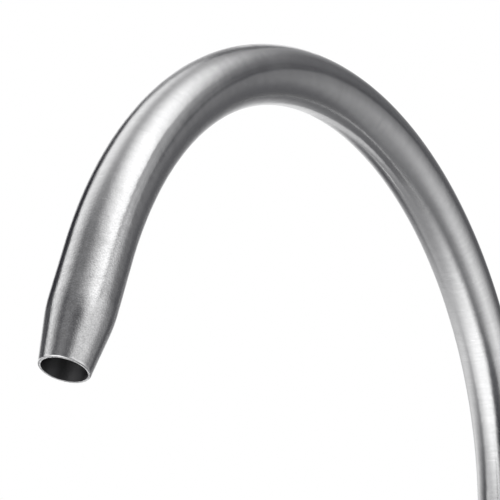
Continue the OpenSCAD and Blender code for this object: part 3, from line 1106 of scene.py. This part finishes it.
@dataclass(frozen=True)
class DullSolid(Finish):
    """Rubber, fibre, plastic or ceramic: a grain, slow changes of shade, and a gloss of its own.

    Args:
        grain_depth: how strong its grain is.
        change: how much its shade changes.
        coat: how glossy its skin is.
    """

    grain_depth: float = 0.2
    change: float = 0.12
    coat: float = 0.0

    def material(self, effects: Effects) -> bpy.types.Material:
        """Makes the material.

        Args:
            effects: the shared node groups.

        Returns:
            The material.
        """
        begun = self.start(effects)
        w = begun.w
        base = w.mix(begun.cloud, self.shade(1.0 - self.change), self.shade(1.0 + self.change))
        base = w.mix(w.ramp(begun.grain, 0.55, 0.75, 0.0, 0.35), base, self.shade(1.0 - 2 * self.change))
        base = w.mix(w.times(begun.rubbed, 0.4), base, self.shade(1.35))
        grained = w.ramp(begun.grain, 0.3, 0.7, self.roughness - 0.06, self.roughness + 0.06)
        bump = w.add("ShaderNodeBump", Height=begun.grain, Strength=self.grain_depth, Distance=0.0001)
        w.fill(begun.shader, Base_Color=base, Roughness=grained, Coat_Weight=self.coat, Coat_Roughness=0.15,
               Normal=bump.outputs[0])
        return begun.material


FINISHES = (
    BrushedSteel(Slot.BRUSHED_STEEL, (0.61, 0.61, 0.61), 0.17),
    WorkedMetal(Slot.PLATED_STEEL, (0.66, 0.67, 0.7), 0.3, stain=(0.4, 0.4, 0.42)),
    WorkedMetal(Slot.BRASS, (0.72, 0.55, 0.27), 0.28, stain=(0.42, 0.27, 0.1)),
    DullSolid(Slot.BLACK_RUBBER, (0.03, 0.03, 0.032), 0.62, grain_depth=0.35),
    DullSolid(Slot.RED_FIBRE, (0.35, 0.1, 0.07), 0.75, grain_scale=1600.0, grain_depth=0.5, change=0.2),
    DullSolid(Slot.SLIDE_PLASTIC, (0.86, 0.86, 0.84), 0.42, change=0.03),
    DullSolid(Slot.DISC_CERAMIC, (0.88, 0.87, 0.84), 0.22, grain_depth=0.05, change=0.03, coat=0.3),
    DullSolid(Slot.WHITE_PLASTIC, (0.82, 0.82, 0.8), 0.36, grain_depth=0.12, change=0.03, coat=0.15),
    DullSolid(Slot.GREY_PLASTIC, (0.42, 0.44, 0.46), 0.4, grain_depth=0.12, change=0.05, coat=0.1),
)


# Sub-assemblies


class Workshop:
    """Puts pieces on the frame and dresses them."""

    def __init__(self) -> None:
        """Makes the effects and the materials."""
        self.effects = Effects()
        self.materials = {finish.slot: finish.material(self.effects) for finish in FINISHES}
        self.left = set(frame["nodes"])

    def finish(self, piece: bpy.types.Object, node: str) -> None:
        """Gives a piece its node's finish, and reports it.

        Args:
            piece: the piece.
            node: the node that it stands for.
        """
        slot = SLOT_OF[node]
        piece.data.materials.clear()
        piece.data.materials.append(self.materials[slot])
        self.left.discard(node)
        LOG.info("%s: %d faces on %s, %s", piece.name, len(piece.data.polygons), BODY_OF[node], slot.value)

    def fit(self, piece: bpy.types.Object, node: str) -> None:
        """Fits a fine piece over its node of the frame.

        Args:
            piece: the piece, in place.
            node: the node that it replaces.
        """
        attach(piece, BODY_OF[node])
        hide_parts(node)
        self.finish(piece, node)

    def dress(self, node: str) -> None:
        """Dresses a node that keeps its own mesh.

        Args:
            node: the node.
        """
        piece = frame["nodes"][node]
        crease(piece, FRAME_EDGE)
        self.finish(piece, node)


@dataclass
class SubAssembly:
    """A group of pieces that is put together before it goes on the faucet."""

    shop: Workshop

    def turned(self, node: str, rows: Sequence[Row], path: Path = UPRIGHT, sides: int = ROUND) -> None:
        """Turns a piece and fits it over its node.

        Args:
            node: the node that it stands for.
            rows: its outline.
            path: its axis.
            sides: number of points round the axis.
        """
        self.shop.fit(Skin().turn(rows, path, sides).piece(f"{node}_skin"), node)

    def ring(self, node: str, bore_r: float, soft: float = PLAIN, path: StraightPath = UPRIGHT) -> None:
        """Turns a ring as wide and as thick as its node.

        Args:
            node: the node that it stands for.
            bore_r: radius of its hole.
            soft: rounding of its corners.
            path: its axis.
        """
        size = reach(node, path)
        self.turned(node, ring_rows(size.r, bore_r, size.low, size.high, soft), path, WIDE)


@dataclass
class Spout(SubAssembly):
    """The gooseneck tube, its foot, and the rings and nut that hold and seal it."""

    tube_r: float = 6.0
    wall: float = 0.55
    bend_z: float = 190.0
    bend_r: float = 77.0
    bend_deg: float = 158.7
    straight: float = 12.4
    taper: float = 10.3
    tip_r: float = 4.5
    tube_sides: int = 112
    tube_step: float = 1.4
    bend_steps: int = 6
    shoulder_soft: float = 2.2
    rim_soft: float = 0.28
    lip_soft: float = 0.12
    # Length before the taper over which the press's marks fade
    pressed_len: float = 34.0
    foot_bore_r: float = 4.55
    foot_neck_r: float = 7.25
    socket_play: float = 0.02
    flange_z: float = 52.0
    flange_t: float = 1.6
    groove_r: float = 5.675
    groove_w: float = 1.9
    groove_zs: tuple[float, float] = (40.0, 43.9)
    seal_w: float = 1.5
    seal_soft: float = 0.45
    lower_glide_bore_r: float = 7.0
    upper_bore_r: float = 7.55
    nut_bore_r: float = 9.05
    nut_top_r: float = 8.55
    nut_bulge: float = 1.2

    @property
    def path(self) -> GooseneckPath:
        """The tube's middle line."""
        return GooseneckPath(reach("spout_tube").low, self.bend_z, self.bend_r, self.bend_deg)

    @property
    def shoulder(self) -> float:
        """Where the tube starts to taper, along its middle line."""
        return self.path.riser + self.path.bend_len + self.straight

    def press_marks(self, s: float) -> float:
        """How strongly the press that shaped the end has marked the tube at a distance along it."""
        share = min(max((s - self.shoulder) / self.pressed_len + 1, 0.0), 1.0)
        return share * share * (3 - 2 * share)

    def tube(self) -> None:
        """The bent tube, with its soft shoulder, tapered end, thin rim and open bore."""
        end = self.shoulder + self.taper
        outline = [
            (self.tube_r, 0), (self.tube_r, self.shoulder, self.shoulder_soft),
            (self.tip_r, end, self.rim_soft), (self.tip_r - self.wall, end, self.lip_soft),
            (self.tube_r - self.wall, self.shoulder, self.shoulder_soft), (self.tube_r - self.wall, 0),
        ]
        skin = Skin().turn(outline, self.path, self.tube_sides, self.tube_step, self.bend_steps,
                           self.press_marks)
        self.shop.fit(skin.piece("gooseneck_tube"), "spout_tube")

    def foot(self) -> None:
        """The sleeve on the tube's end: stem with two ring grooves, flange and collar."""
        size, stem_r = reach("spout_foot"), reach("spout_o_rings").r
        flange_top, socket_r = self.flange_z + self.flange_t, self.tube_r + self.socket_play
        outline = [(self.foot_bore_r, size.low), (stem_r, size.low, EASED)]
        for z in self.groove_zs:
            outline += [(stem_r, z), (self.groove_r, z), (self.groove_r, z + self.groove_w),
                        (stem_r, z + self.groove_w)]
        outline += [
            (stem_r, self.flange_z), (size.r, self.flange_z), (size.r, flange_top),
            (self.foot_neck_r, flange_top), (self.foot_neck_r, size.high, EASED),
            (socket_r, size.high), (socket_r, self.path.start_z, CRISP),
            (self.foot_bore_r, self.path.start_z, CRISP),
        ]
        self.turned("spout_foot", outline)

    def seals(self) -> None:
        """The two seal rings in the foot, and the glide rings below and above its flange."""
        skin, outer_r = Skin(), reach("spout_o_rings").r
        for z in self.groove_zs:
            low = z + (self.groove_w - self.seal_w) / 2
            skin.turn(ring_rows(outer_r, self.groove_r, low, low + self.seal_w, self.seal_soft))
        self.shop.fit(skin.piece("spout_o_rings_skin"), "spout_o_rings")
        self.ring("lower_glide_ring", self.lower_glide_bore_r)
        self.ring("upper_glide_ring", self.upper_bore_r)

    def nut(self) -> None:
        """The cone-topped nut over the foot's flange."""
        size, cone_z, ceiling_z = reach("spout_nut"), reach("valve_body").high, reach("upper_glide_ring").high
        self.turned("spout_nut", [
            (self.nut_bore_r, size.low, EASED), (size.r, size.low, EASED),
            (size.r, cone_z, self.nut_bulge), (self.nut_top_r, size.high, EASED),
            (self.upper_bore_r, size.high), (self.upper_bore_r, ceiling_z, CRISP),
            (self.nut_bore_r, ceiling_z, CRISP),
        ], sides=WIDE)

    def build(self) -> None:
        """Builds and dresses the whole spout."""
        self.tube()
        self.foot()
        self.seals()
        self.nut()


@dataclass
class ValveBody(SubAssembly):
    """The upright body with its side boss, and the flange and gaskets under it."""

    neck_r: float = 9.0
    socket_r: float = 7.0
    socket_z: float = 37.7
    shank_hole_r: float = 5.6
    shank_hole_deep: float = 9.0
    foot_step: float = 0.8
    valve_z: float = 27.1
    spigot_r: float = 9.8
    chamber_r: float = 8.6
    boss_root_x: float = 0.5
    rim_top_z: float = 3.5
    rim_soft: float = 0.45
    flange_top_r: float = 13.7
    recess_r: float = 12.55
    shank_bore_r: float = 3.25

    @property
    def side(self) -> StraightPath:
        """The valve's axis, from the body's middle along +X."""
        onto_x = Matrix.Rotation(math.radians(90), 4, "Y")
        return StraightPath(Matrix.Translation((0, 0, self.valve_z)) @ onto_x)

    def body(self) -> None:
        """The body: an upright turned part with a turned boss on its side, in one piece."""
        size, shoulder_z = reach("valve_body"), reach("spout_nut").low
        hole_top = size.low + self.shank_hole_deep
        skin = Skin().turn([
            (0, hole_top, CRISP), (self.shank_hole_r, hole_top, CRISP),
            (self.shank_hole_r, size.low, EASED), (size.r - self.foot_step, size.low, EASED),
            (size.r, size.low + self.foot_step, EASED), (size.r, shoulder_z, EASED),
            (self.neck_r, shoulder_z), (self.neck_r, size.high, EASED),
            (self.socket_r, size.high, EASED), (self.socket_r, self.socket_z, CRISP),
            (0, self.socket_z, CRISP),
        ], sides=WIDE)
        bonnet = reach("bonnet", self.side)
        seat_x, spigot_x = reach("seat_seal", self.side).low, reach("housing_washer", self.side).low
        skin.turn([
            (0, seat_x, CRISP), (0, self.boss_root_x, CRISP), (bonnet.r, self.boss_root_x),
            (bonnet.r, bonnet.low, EASED), (self.spigot_r, bonnet.low),
            (self.spigot_r, spigot_x, EASED), (self.chamber_r, spigot_x, EASED),
            (self.chamber_r, seat_x),
        ], self.side, WIDE)
        self.shop.fit(skin.piece("valve_body_skin"), "valve_body")

    def base(self) -> None:
        """The sloped flange, the rubber gasket that stands on the deck, and the shank's gasket."""
        size, body_low = reach("base_flange"), reach("valve_body").low
        self.turned("base_flange", [
            (self.shank_hole_r, size.low), (size.r, size.low, EASED),
            (size.r, self.rim_top_z, self.rim_soft), (self.flange_top_r, size.high, EASED),
            (self.recess_r, size.high), (self.recess_r, body_low, CRISP),
            (self.shank_hole_r, body_low),
        ], sides=WIDEST)
        self.ring("base_gasket", self.shank_hole_r, EASED)
        self.ring("shank_gasket", self.shank_bore_r)

    def build(self) -> None:
        """Builds and dresses the body and its base."""
        self.body()
        self.base()


@dataclass
class DeckClamp(SubAssembly):
    """The threaded shank, and the washers and nut that pull the faucet onto its deck."""

    bore_r: float = 3.25
    sides: int = 72
    thread_top_z: float = -0.5
    pitch: float = 1.06
    depth: float = 0.636
    # Shares of a turn at which the thread's root ends and its crest starts and ends
    flank: tuple[float, float, float] = (0.12, 0.5, 0.62)
    core_play: float = 0.01
    hole_r: float = 5.6
    star_r: float = 7.4
    star_low_z: float = -30.2
    star_t: float = 0.6
    teeth: int = 12
    # A tooth's length, width and thickness
    tooth: tuple[float, float, float] = (1.8, 1.6, 0.5)
    tooth_twist: float = 9.0
    tooth_out: float = 0.3
    nut_play: float = 0.4
    nut_chamfer: float = 1.1
    thread_lead: float = 0.6

    def thread(self) -> bpy.types.Mesh:
        """Cuts a helical thread on the shank.

        Returns:
            The thread's mesh, open where the shank's core closes it.
        """
        size, sides = reach("threaded_shank"), self.sides
        root_r, crest_r = size.r - self.depth, size.r
        profile = tuple(zip((0.0, *self.flank), (root_r, root_r, crest_r, crest_r)))
        turns = int((self.thread_top_z - size.low) / self.pitch) + 2
        rows = turns * len(profile)
        points, faces = [], []
        for row in range(rows):
            turn, (share, r) = row // len(profile), profile[row % len(profile)]
            for k in range(sides):
                z = self.thread_top_z + self.pitch * (1 - turn - share - k / sides)
                held = min(max(z, size.low), self.thread_top_z)
                angle = math.tau * k / sides
                points.append((r * math.cos(angle) * MM, r * math.sin(angle) * MM, held * MM))
        for row in range(rows - len(profile) - 1):
            for k in range(sides):
                here = row * sides + k
                on = here + 1 if k + 1 < sides else (row + len(profile)) * sides
                faces.append((here, here + sides, on + sides, on))
        return plain_mesh("shank_thread", points, faces)

    def shank(self) -> None:
        """The shank, with its thread, its plain top and its bore."""
        size = reach("threaded_shank")
        core_r = size.r - self.depth + self.core_play
        core = Skin().turn([
            (self.bore_r, size.low, EASED), (core_r, size.low), (core_r, self.thread_top_z, CRISP),
            (size.r, self.thread_top_z, CRISP), (size.r, size.high, EASED),
            (self.bore_r, size.high, EASED),
        ], sides=self.sides)
        mesh = self.thread()
        join(mesh, core.mesh("shank_core"))
        piece = put_in_scene("threaded_shank_skin", mesh)
        crease(piece, THREAD_EDGE)
        self.shop.fit(piece, "threaded_shank")

    def star_washer(self) -> None:
        """The toothed washer."""
        rows = ring_rows(self.star_r, self.hole_r, self.star_low_z, self.star_low_z + self.star_t)
        star = Skin().turn(rows).piece("star_washer_skin")
        made = bmesh.new()
        made.from_mesh(star.data)
        tilt = Matrix.Rotation(math.radians(self.tooth_twist), 4, "X") @ Matrix.Diagonal((*self.tooth, 1))
        place = Matrix.Translation((self.star_r + self.tooth_out, 0, self.star_low_z + self.star_t / 2))
        for k in range(self.teeth):
            turn = Matrix.Scale(MM, 4) @ Matrix.Rotation(math.tau * k / self.teeth, 4, "Z")
            cube = bmesh.ops.create_cube(made, size=1.0, matrix=turn @ place @ tilt)
            edges = list({edge for vert in cube["verts"] for edge in vert.link_edges})
            bmesh.ops.bevel(made, geom=edges, offset=PLAIN * MM, segments=2, affect="EDGES")
        made.to_mesh(star.data)
        made.free()
        crease(star, CUT_EDGE)
        self.shop.fit(star, "star_washer")

    def nut(self) -> None:
        """The six-sided nut, with turned-down corners and the start of its thread."""
        size = reach("mounting_nut")
        corner_r = size.r / math.cos(math.radians(30))
        wide_r, hole_r, lead = corner_r + self.nut_play, self.hole_r, self.thread_lead
        piece = prism("mounting_nut_skin", corner_r, 6, size.low, size.high)
        blank = Skin().turn([
            (0, size.low, HIDDEN), (size.r, size.low), (wide_r, size.low + self.nut_chamfer, CRISP),
            (wide_r, size.high, CRISP), (0, size.high, HIDDEN),
        ], sides=WIDE)
        bore = Skin().turn([
            (0, size.low - 1, HIDDEN), (hole_r + lead, size.low - 1, HIDDEN),
            (hole_r + lead, size.low, HIDDEN), (hole_r, size.low + lead, HIDDEN),
            (hole_r, size.high + 1, HIDDEN), (0, size.high + 1, HIDDEN),
        ])
        carve(piece, blank.piece("nut_blank"), Cut.COMMON)
        carve(piece, bore.piece("nut_bore"), Cut.AWAY)
        crease(piece, NUT_EDGE)
        self.shop.fit(piece, "mounting_nut")

    def build(self) -> None:
        """Builds and dresses the clamp."""
        self.shank()
        self.ring("deck_washer", self.hole_r, EASED)
        self.ring("clamp_washer", self.hole_r, EASED)
        self.star_washer()
        self.nut()


@dataclass
class Cartridge(SubAssembly):
    """The quarter-turn valve in the side boss, and the bonnet over it."""

    side: StraightPath
    washer_bore_r: float = 8.6
    seal_bore_r: float = 3.0
    thrust_bore_r: float = 4.05
    stem_groove_r: float = 3.0
    stem_seal_soft: float = 0.45
    bonnet_bore_r: float = 9.85
    bonnet_hole_r: float = 5.9
    bonnet_face_t: float = 1.0
    bonnet_soft: float = 0.9

    def bonnet(self) -> None:
        """The round cover over the valve."""
        size = reach("bonnet", self.side)
        inside = size.high - self.bonnet_face_t
        self.turned("bonnet", [
            (self.bonnet_bore_r, size.low), (size.r, size.low, EASED),
            (size.r, size.high, self.bonnet_soft), (self.bonnet_hole_r, size.high, EASED),
            (self.bonnet_hole_r, inside), (self.bonnet_bore_r, inside, CRISP),
        ], self.side, WIDE)

    def build(self) -> None:
        """Builds and dresses the valve; its pieces inside keep the frame's meshes."""
        for node in ("cartridge_housing", "valve_stem", "fixed_disc", "turning_disc", "stem_clip"):
            self.shop.dress(node)
        self.ring("housing_washer", self.washer_bore_r, path=self.side)
        self.ring("seat_seal", self.seal_bore_r, path=self.side)
        self.ring("thrust_washer", self.thrust_bore_r, CRISP, self.side)
        self.ring("stem_o_ring", self.stem_groove_r, self.stem_seal_soft, self.side)
        self.bonnet()


@dataclass
class Handle(SubAssembly):
    """The hub on the stem, its lever and its set screw."""

    side: StraightPath
    step: float = 2.0
    round_steps: int = 10
    hub_face_soft: float = 1.1
    hub_back_soft: float = 0.9
    stem_hole_r: float = 3.05
    stem_hole_x: float = 36.25
    stud_r: float = 2.0
    stud_len: float = 5.0
    tip_r: float = 2.5
    # Share of the tip's radius that its rounding may take
    tip_round: float = 0.985
    screw_play: float = 0.05
    socket_r: float = 1.0
    socket_deep: float = 2.0

    @property
    def upright(self) -> StraightPath:
        """The lever's and the set screw's axis, through the hub's middle."""
        hub = reach("handle_hub", self.side)
        return StraightPath(Matrix.Translation(((hub.low + hub.high) / 2, 0, 0)))

    def hub(self) -> None:
        """The hub, with the stem's hole in its back and the set screw's hole below."""
        size, screw = reach("handle_hub", self.side), reach("hub_set_screw")
        piece = Skin().turn([
            (0, size.high, CRISP), (size.r, size.high, self.hub_face_soft),
            (size.r, size.low, self.hub_back_soft), (self.stem_hole_r, size.low),
            (self.stem_hole_r, self.stem_hole_x, CRISP), (0, self.stem_hole_x, CRISP),
        ], self.side, WIDE, self.step).piece("handle_hub_skin")
        below = screw.low - size.r
        hole = ring_rows(screw.r + self.screw_play, 0, below, screw.high, HIDDEN)
        carve(piece, Skin().turn(hole, self.upright, SMALL).piece("screw_hole"), Cut.AWAY)
        crease(piece, CUT_EDGE)
        self.shop.fit(piece, "handle_hub")

    def lever(self) -> None:
        """The tapered lever with its round end and its threaded stud."""
        size = reach("lever_rod")
        root_z = size.low + self.stud_len
        piece = Skin().turn([
            (0, size.low, HIDDEN), (self.stud_r, size.low, EASED), (self.stud_r, root_z, CRISP),
            (size.r, root_z), (self.tip_r, size.high, self.tip_r * self.tip_round),
            (0, size.high, HIDDEN),
        ], self.upright, ROUND, self.step, self.round_steps).piece("lever_rod_skin")
        self.shop.fit(piece, "lever_rod")

    def screw(self) -> None:
        """The set screw, with its six-sided socket."""
        size = reach("hub_set_screw")
        rows = ring_rows(size.r, 0, size.low, size.high, EASED)
        piece = Skin().turn(rows, self.upright, SMALL).piece("hub_set_screw_skin")
        deep = size.low + self.socket_deep
        socket = prism("screw_socket", self.socket_r, 6, size.low - 1, deep, self.upright)
        carve(piece, socket, Cut.AWAY)
        crease(piece, CUT_EDGE)
        self.shop.fit(piece, "hub_set_screw")

    def build(self) -> None:
        """Builds and dresses the handle."""
        self.hub()
        self.lever()
        self.screw()


@dataclass
class InletConnector(SubAssembly):
    """The push-fit connector on the shank's lower end."""

    barrel_r: float = 8.4
    barrel_soft: float = 0.45
    barrel_in_grip: float = 1.6
    grip_low_z: float = -64.0
    grip_sides: int = 12
    chamfer: float = 0.9
    chamfer_r: float = 8.35
    shank_hole_r: float = 5.6
    way_r: float = 2.375
    tube_bore_r: float = 3.25
    tube_stop_z: float = -67.0
    ring_hole_r: float = 4.85
    cap_hole_r: float = 5.37
    seal_bore_r: float = 3.175
    ring_soft: float = 0.5
    cap_bore_r: float = 4.62
    cap_stem_r: float = 5.32

    def body(self) -> None:
        """The moulded body, with its many-sided grip and its stepped bore."""
        size, ring, seal_z = reach("connector_body"), reach("tube_o_ring"), reach("connector_seal").low
        low, top, wide_r = self.grip_low_z, size.high, size.r + PLAIN
        barrel_top = low + self.barrel_in_grip
        piece = prism("connector_body_skin", size.r, self.grip_sides, low, top)
        blank = Skin().turn([
            (0, low, HIDDEN), (self.chamfer_r, low, CRISP), (wide_r, low + self.chamfer, CRISP),
            (wide_r, top - self.chamfer, CRISP), (self.chamfer_r, top, CRISP), (0, top, HIDDEN),
        ], sides=WIDEST)
        carve(piece, blank.piece("grip_blank"), Cut.COMMON)
        bore = Skin().turn(ring_rows(self.shank_hole_r, 0, low - 1, top + 1, HIDDEN))
        carve(piece, bore.piece("grip_bore"), Cut.AWAY)
        bores = (self.shank_hole_r, self.way_r, self.tube_bore_r, self.ring_hole_r, self.cap_hole_r)
        steps = (barrel_top, seal_z, self.tube_stop_z, ring.high, ring.low, size.low)
        barrel = [(r, z, CRISP) for r, *ends in zip(bores, steps, steps[1:]) for z in ends]
        barrel += [(self.barrel_r, size.low, self.barrel_soft), (self.barrel_r, barrel_top, CRISP)]
        join(piece.data, Skin().turn(barrel, sides=WIDE).mesh("barrel"))
        crease(piece, GRIP_EDGE)
        self.shop.fit(piece, "connector_body")

    def cap(self) -> None:
        """The cap that keeps the collet in."""
        size, body_low = reach("collet_cap"), reach("connector_body").low
        self.turned("collet_cap", [
            (self.cap_bore_r, size.low, EASED), (size.r, size.low, EASED), (size.r, body_low),
            (self.cap_stem_r, body_low), (self.cap_stem_r, size.high), (self.cap_bore_r, size.high),
        ])

    def build(self) -> None:
        """Builds and dresses the connector, its seals, its cap and its collet."""
        self.body()
        self.ring("connector_seal", self.seal_bore_r)
        self.ring("tube_o_ring", self.tube_bore_r, self.ring_soft)
        self.cap()
        self.shop.dress("collet")


# Studio


@dataclass(frozen=True)
class SoftPanel:
    """A light or a black flag of the studio, far from the faucet.

    Args:
        name: what it is called.
        azimuth: degrees from the front, -Y, toward +X.
        elevation: degrees above the horizon.
        roll: degrees that it leans.
        width: degrees across.
        height: degrees high.
        softness: degrees over which its edge fades.
        level: how bright it is, where the backdrop is 1; a flag is nearly black.
    """

    name: str
    azimuth: float
    elevation: float
    roll: float
    width: float
    height: float
    softness: float
    level: float = 0.02

    def arrows(self) -> tuple[Vector, Vector, Vector]:
        """Works out how it lies.

        Returns:
            The directions to its middle, across it and up it.
        """
        azimuth, elevation, roll = (math.radians(v) for v in (self.azimuth, self.elevation, self.roll))
        middle = Vector((math.sin(azimuth) * math.cos(elevation), -math.cos(azimuth) * math.cos(elevation),
                         math.sin(elevation)))
        level = Vector((math.cos(azimuth), math.sin(azimuth), 0))
        above = middle.cross(level)
        above = above if above.z >= 0 else -above
        return (middle, level * math.cos(roll) + above * math.sin(roll),
                above * math.cos(roll) - level * math.sin(roll))


# The studio's lights and flags, from the back to the front of what the metal mirrors
PANELS = (
    SoftPanel("high right light", 100, 50, -15, 60, 65, 50, 2.0),
    SoftPanel("high left light", -100, 45, 10, 135, 55, 30, 1.35),
    SoftPanel("high front flag", -15, 30, 10, 40, 65, 50),
    SoftPanel("leaning left flag", -90, 25, -40, 110, 20, 10, 0.08),
    SoftPanel("high rear flag", 175, 35, -5, 85, 45, 45, 0.1),
    SoftPanel("thin rear flag", 150, 25, -15, 100, 5, 10),
    SoftPanel("low right light", 95, -15, 25, 45, 30, 60, 1.6),
    SoftPanel("low front light", 0, -30, -25, 75, 70, 55, 1.7),
    SoftPanel("leaning front flag", 35, -15, 50, 25, 50, 10),
    SoftPanel("low left flag", -95, -5, 0, 75, 55, 15),
    SoftPanel("tall rear light", -148, 0, 5, 12, 105, 3, 1.0),
    SoftPanel("tall rear flag", 175, -15, 15, 35, 125, 10, 0.15),
    SoftPanel("floor flag", 120, -70, 0, 135, 20, 35, 0.25),
    SoftPanel("leaning left light", -105, 0, -40, 110, 15, 60, 1.7),
    SoftPanel("small left flag", -107, 30, 10, 25, 30, 10),
    SoftPanel("small right flag", 40, 25, -10, 30, 20, 30),
    SoftPanel("small high flag", -155, 50, 20, 15, 15, 5),
    SoftPanel("small rear reflector", 120, 30, 35, 15, 20, 5, 0.45),
    SoftPanel("small rear flag", 140, 20, 5, 20, 5, 10),
    SoftPanel("rim glint", -125, -40, 10, 3, 5, 2, 1.8),
)


@dataclass
class Studio:
    """Backdrop, floor, lamp and camera.

    Places and lengths are metres here, apart from the sensor's millimetres and the picture's pixels.
    Levels are shares of the backdrop's white.
    """

    effects: Effects
    white: Colour = (1.0, 1.0, 1.0)
    room: float = 0.38
    haze: float = 0.009
    plain_level: float = 0.85
    floor_z: float = -0.0905
    floor_half: float = 3.0
    fade: tuple[float, float] = (0.35, 1.6)
    paper_shades: tuple[Colour, Colour] = ((0.86, 0.86, 0.86), (0.9, 0.9, 0.895))
    lamp_side: float = 1.2
    lamp_power: float = 9.0
    lamp_place: tuple[float, float, float] = (0.7, -0.9, 1.5)
    lamp_aim: tuple[float, float, float] = (0.0, -0.05, 0.05)
    lens_px: float = 1897.5
    frame_px: float = 500.0
    sensor: float = 36.0
    clip: tuple[float, float] = (0.01, 50.0)
    eye: tuple[float, float, float] = (0.19715, -0.39248, 0.14374)
    azimuth: float = 34.27
    elevation: float = -13.47

    def cool(self, level: float) -> Colour:
        """A level's colour: grey, with a trace of blue that shows most where it is dark."""
        return (level, level, level + self.haze)

    def world(self) -> None:
        """The backdrop, white to the eye, with the lights and flags that only the metal shows."""
        made = bpy.data.worlds.new("studio")
        bpy.context.scene.world = made
        made.use_nodes = True
        made.node_tree.nodes.clear()
        w = Wiring(made.node_tree)
        rays = w.add("ShaderNodeLightPath").outputs
        aim = w.add("ShaderNodeTexCoord").outputs["Generated"]
        mirrored: object = self.cool(self.room)
        for panel in PANELS:
            middle, across, above = (tuple(arrow) for arrow in panel.arrows())
            width, height, softness = (math.radians(v) for v in (panel.width, panel.height, panel.softness))
            node = w.group(
                self.effects.soft_panel, Behind=mirrored, Level=self.cool(panel.level), Direction=aim,
                Middle=middle, Across=across, Above=above, Half_Width=width / 2, Half_Height=height / 2,
                Softness=softness)
            node.label, mirrored = panel.name, node.outputs[0]
        seen = w.math("MAXIMUM", rays["Is Camera Ray"], rays["Is Transmission Ray"])
        light = w.mix(seen, (self.plain_level,) * 3, self.white)
        colour = w.mix(rays["Is Glossy Ray"], light, mirrored)
        back = w.add("ShaderNodeBackground", Color=colour, Strength=1.0)
        w.add("ShaderNodeOutputWorld", Surface=back.outputs[0])

    def paper(self) -> bpy.types.Material:
        """Makes the floor's pale paper, which fades into the backdrop and is clear from below.

        Returns:
            The material.
        """
        made, w = empty_material("pale_floor")
        place = w.add("ShaderNodeTexCoord").outputs["Object"]
        rays = w.add("ShaderNodeLightPath").outputs
        tone = w.mix(w.noise(place, 9.0, 3.0), *self.paper_shades)
        paper = w.add("ShaderNodeBsdfPrincipled", Base_Color=tone, Roughness=0.85, Specular_IOR_Level=0.1)
        glow = w.add("ShaderNodeEmission", Color=self.white, Strength=1.0)
        far = w.add("ShaderNodeVectorMath")
        far.operation = "LENGTH"
        w.put(far.inputs[0], place)
        fade = w.times(w.ramp(far.outputs["Value"], *self.fade), rays["Is Camera Ray"])
        below = w.add("ShaderNodeNewGeometry").outputs["Backfacing"]
        surface = paper.outputs[0]
        for share, over in ((fade, glow), (below, w.add("ShaderNodeBsdfTransparent"))):
            mixed = w.add("ShaderNodeMixShader", Fac=share)
            w.put(mixed.inputs[1], surface)
            w.put(mixed.inputs[2], over.outputs[0])
            surface = mixed.outputs[0]
        w.add("ShaderNodeOutputMaterial", Surface=surface)
        return made

    def floor(self) -> None:
        """A pale floor under the faucet, which the metal doesn't mirror."""
        half = self.floor_half
        points = [(x, y, self.floor_z) for x, y in ((-half, -half), (half, -half),
                                                   (half, half), (-half, half))]
        mesh = plain_mesh("floor", points, [(0, 1, 2, 3)])
        mesh.materials.append(self.paper())
        piece = put_in_scene("floor", mesh)
        piece.visible_glossy = False

    def lamp(self) -> None:
        """A wide lamp above and beside the faucet, for the shadow on the floor."""
        light = bpy.data.lights.new("wide_lamp", "AREA")
        light.shape, light.size, light.size_y = "RECTANGLE", self.lamp_side, self.lamp_side
        light.energy = self.lamp_power
        piece = put_in_scene("wide_lamp", light)
        piece.location = self.lamp_place
        piece.rotation_euler = (Vector(self.lamp_aim) - piece.location).to_track_quat("-Z", "Y").to_euler()
        piece.visible_glossy = False

    def camera(self) -> None:
        """The camera where the photograph was taken, looking up at the gooseneck."""
        data = bpy.data.cameras.new("camera")
        data.sensor_width = self.sensor
        data.lens = self.lens_px / self.frame_px * self.sensor
        data.clip_start, data.clip_end = self.clip
        piece = put_in_scene("camera", data)
        azimuth, elevation = math.radians(self.azimuth), math.radians(self.elevation)
        ahead = Vector((-math.sin(azimuth) * math.cos(elevation), math.cos(azimuth) * math.cos(elevation),
                        -math.sin(elevation)))
        piece.location = self.eye
        piece.rotation_mode = "QUATERNION"
        piece.rotation_quaternion = ahead.to_track_quat("-Z", "Y")
        bpy.context.scene.camera = piece

    def build(self) -> None:
        """Sets up the studio."""
        self.world()
        self.floor()
        self.lamp()
        self.camera()
        bpy.context.scene.view_settings.view_transform = "Standard"


def main() -> None:
    """Builds every sub-assembly, dresses it and sets up the studio."""
    logging.basicConfig(level=logging.INFO, format="%(name)s: %(message)s")
    shop = Workshop()
    Spout(shop).build()
    body = ValveBody(shop)
    body.build()
    DeckClamp(shop).build()
    Cartridge(shop, body.side).build()
    Handle(shop, body.side).build()
    InletConnector(shop).build()
    Studio(shop.effects).build()
    if shop.left:
        LOG.warning("not dressed: %s", sorted(shop.left))


if __name__ == "__main__":
    main()
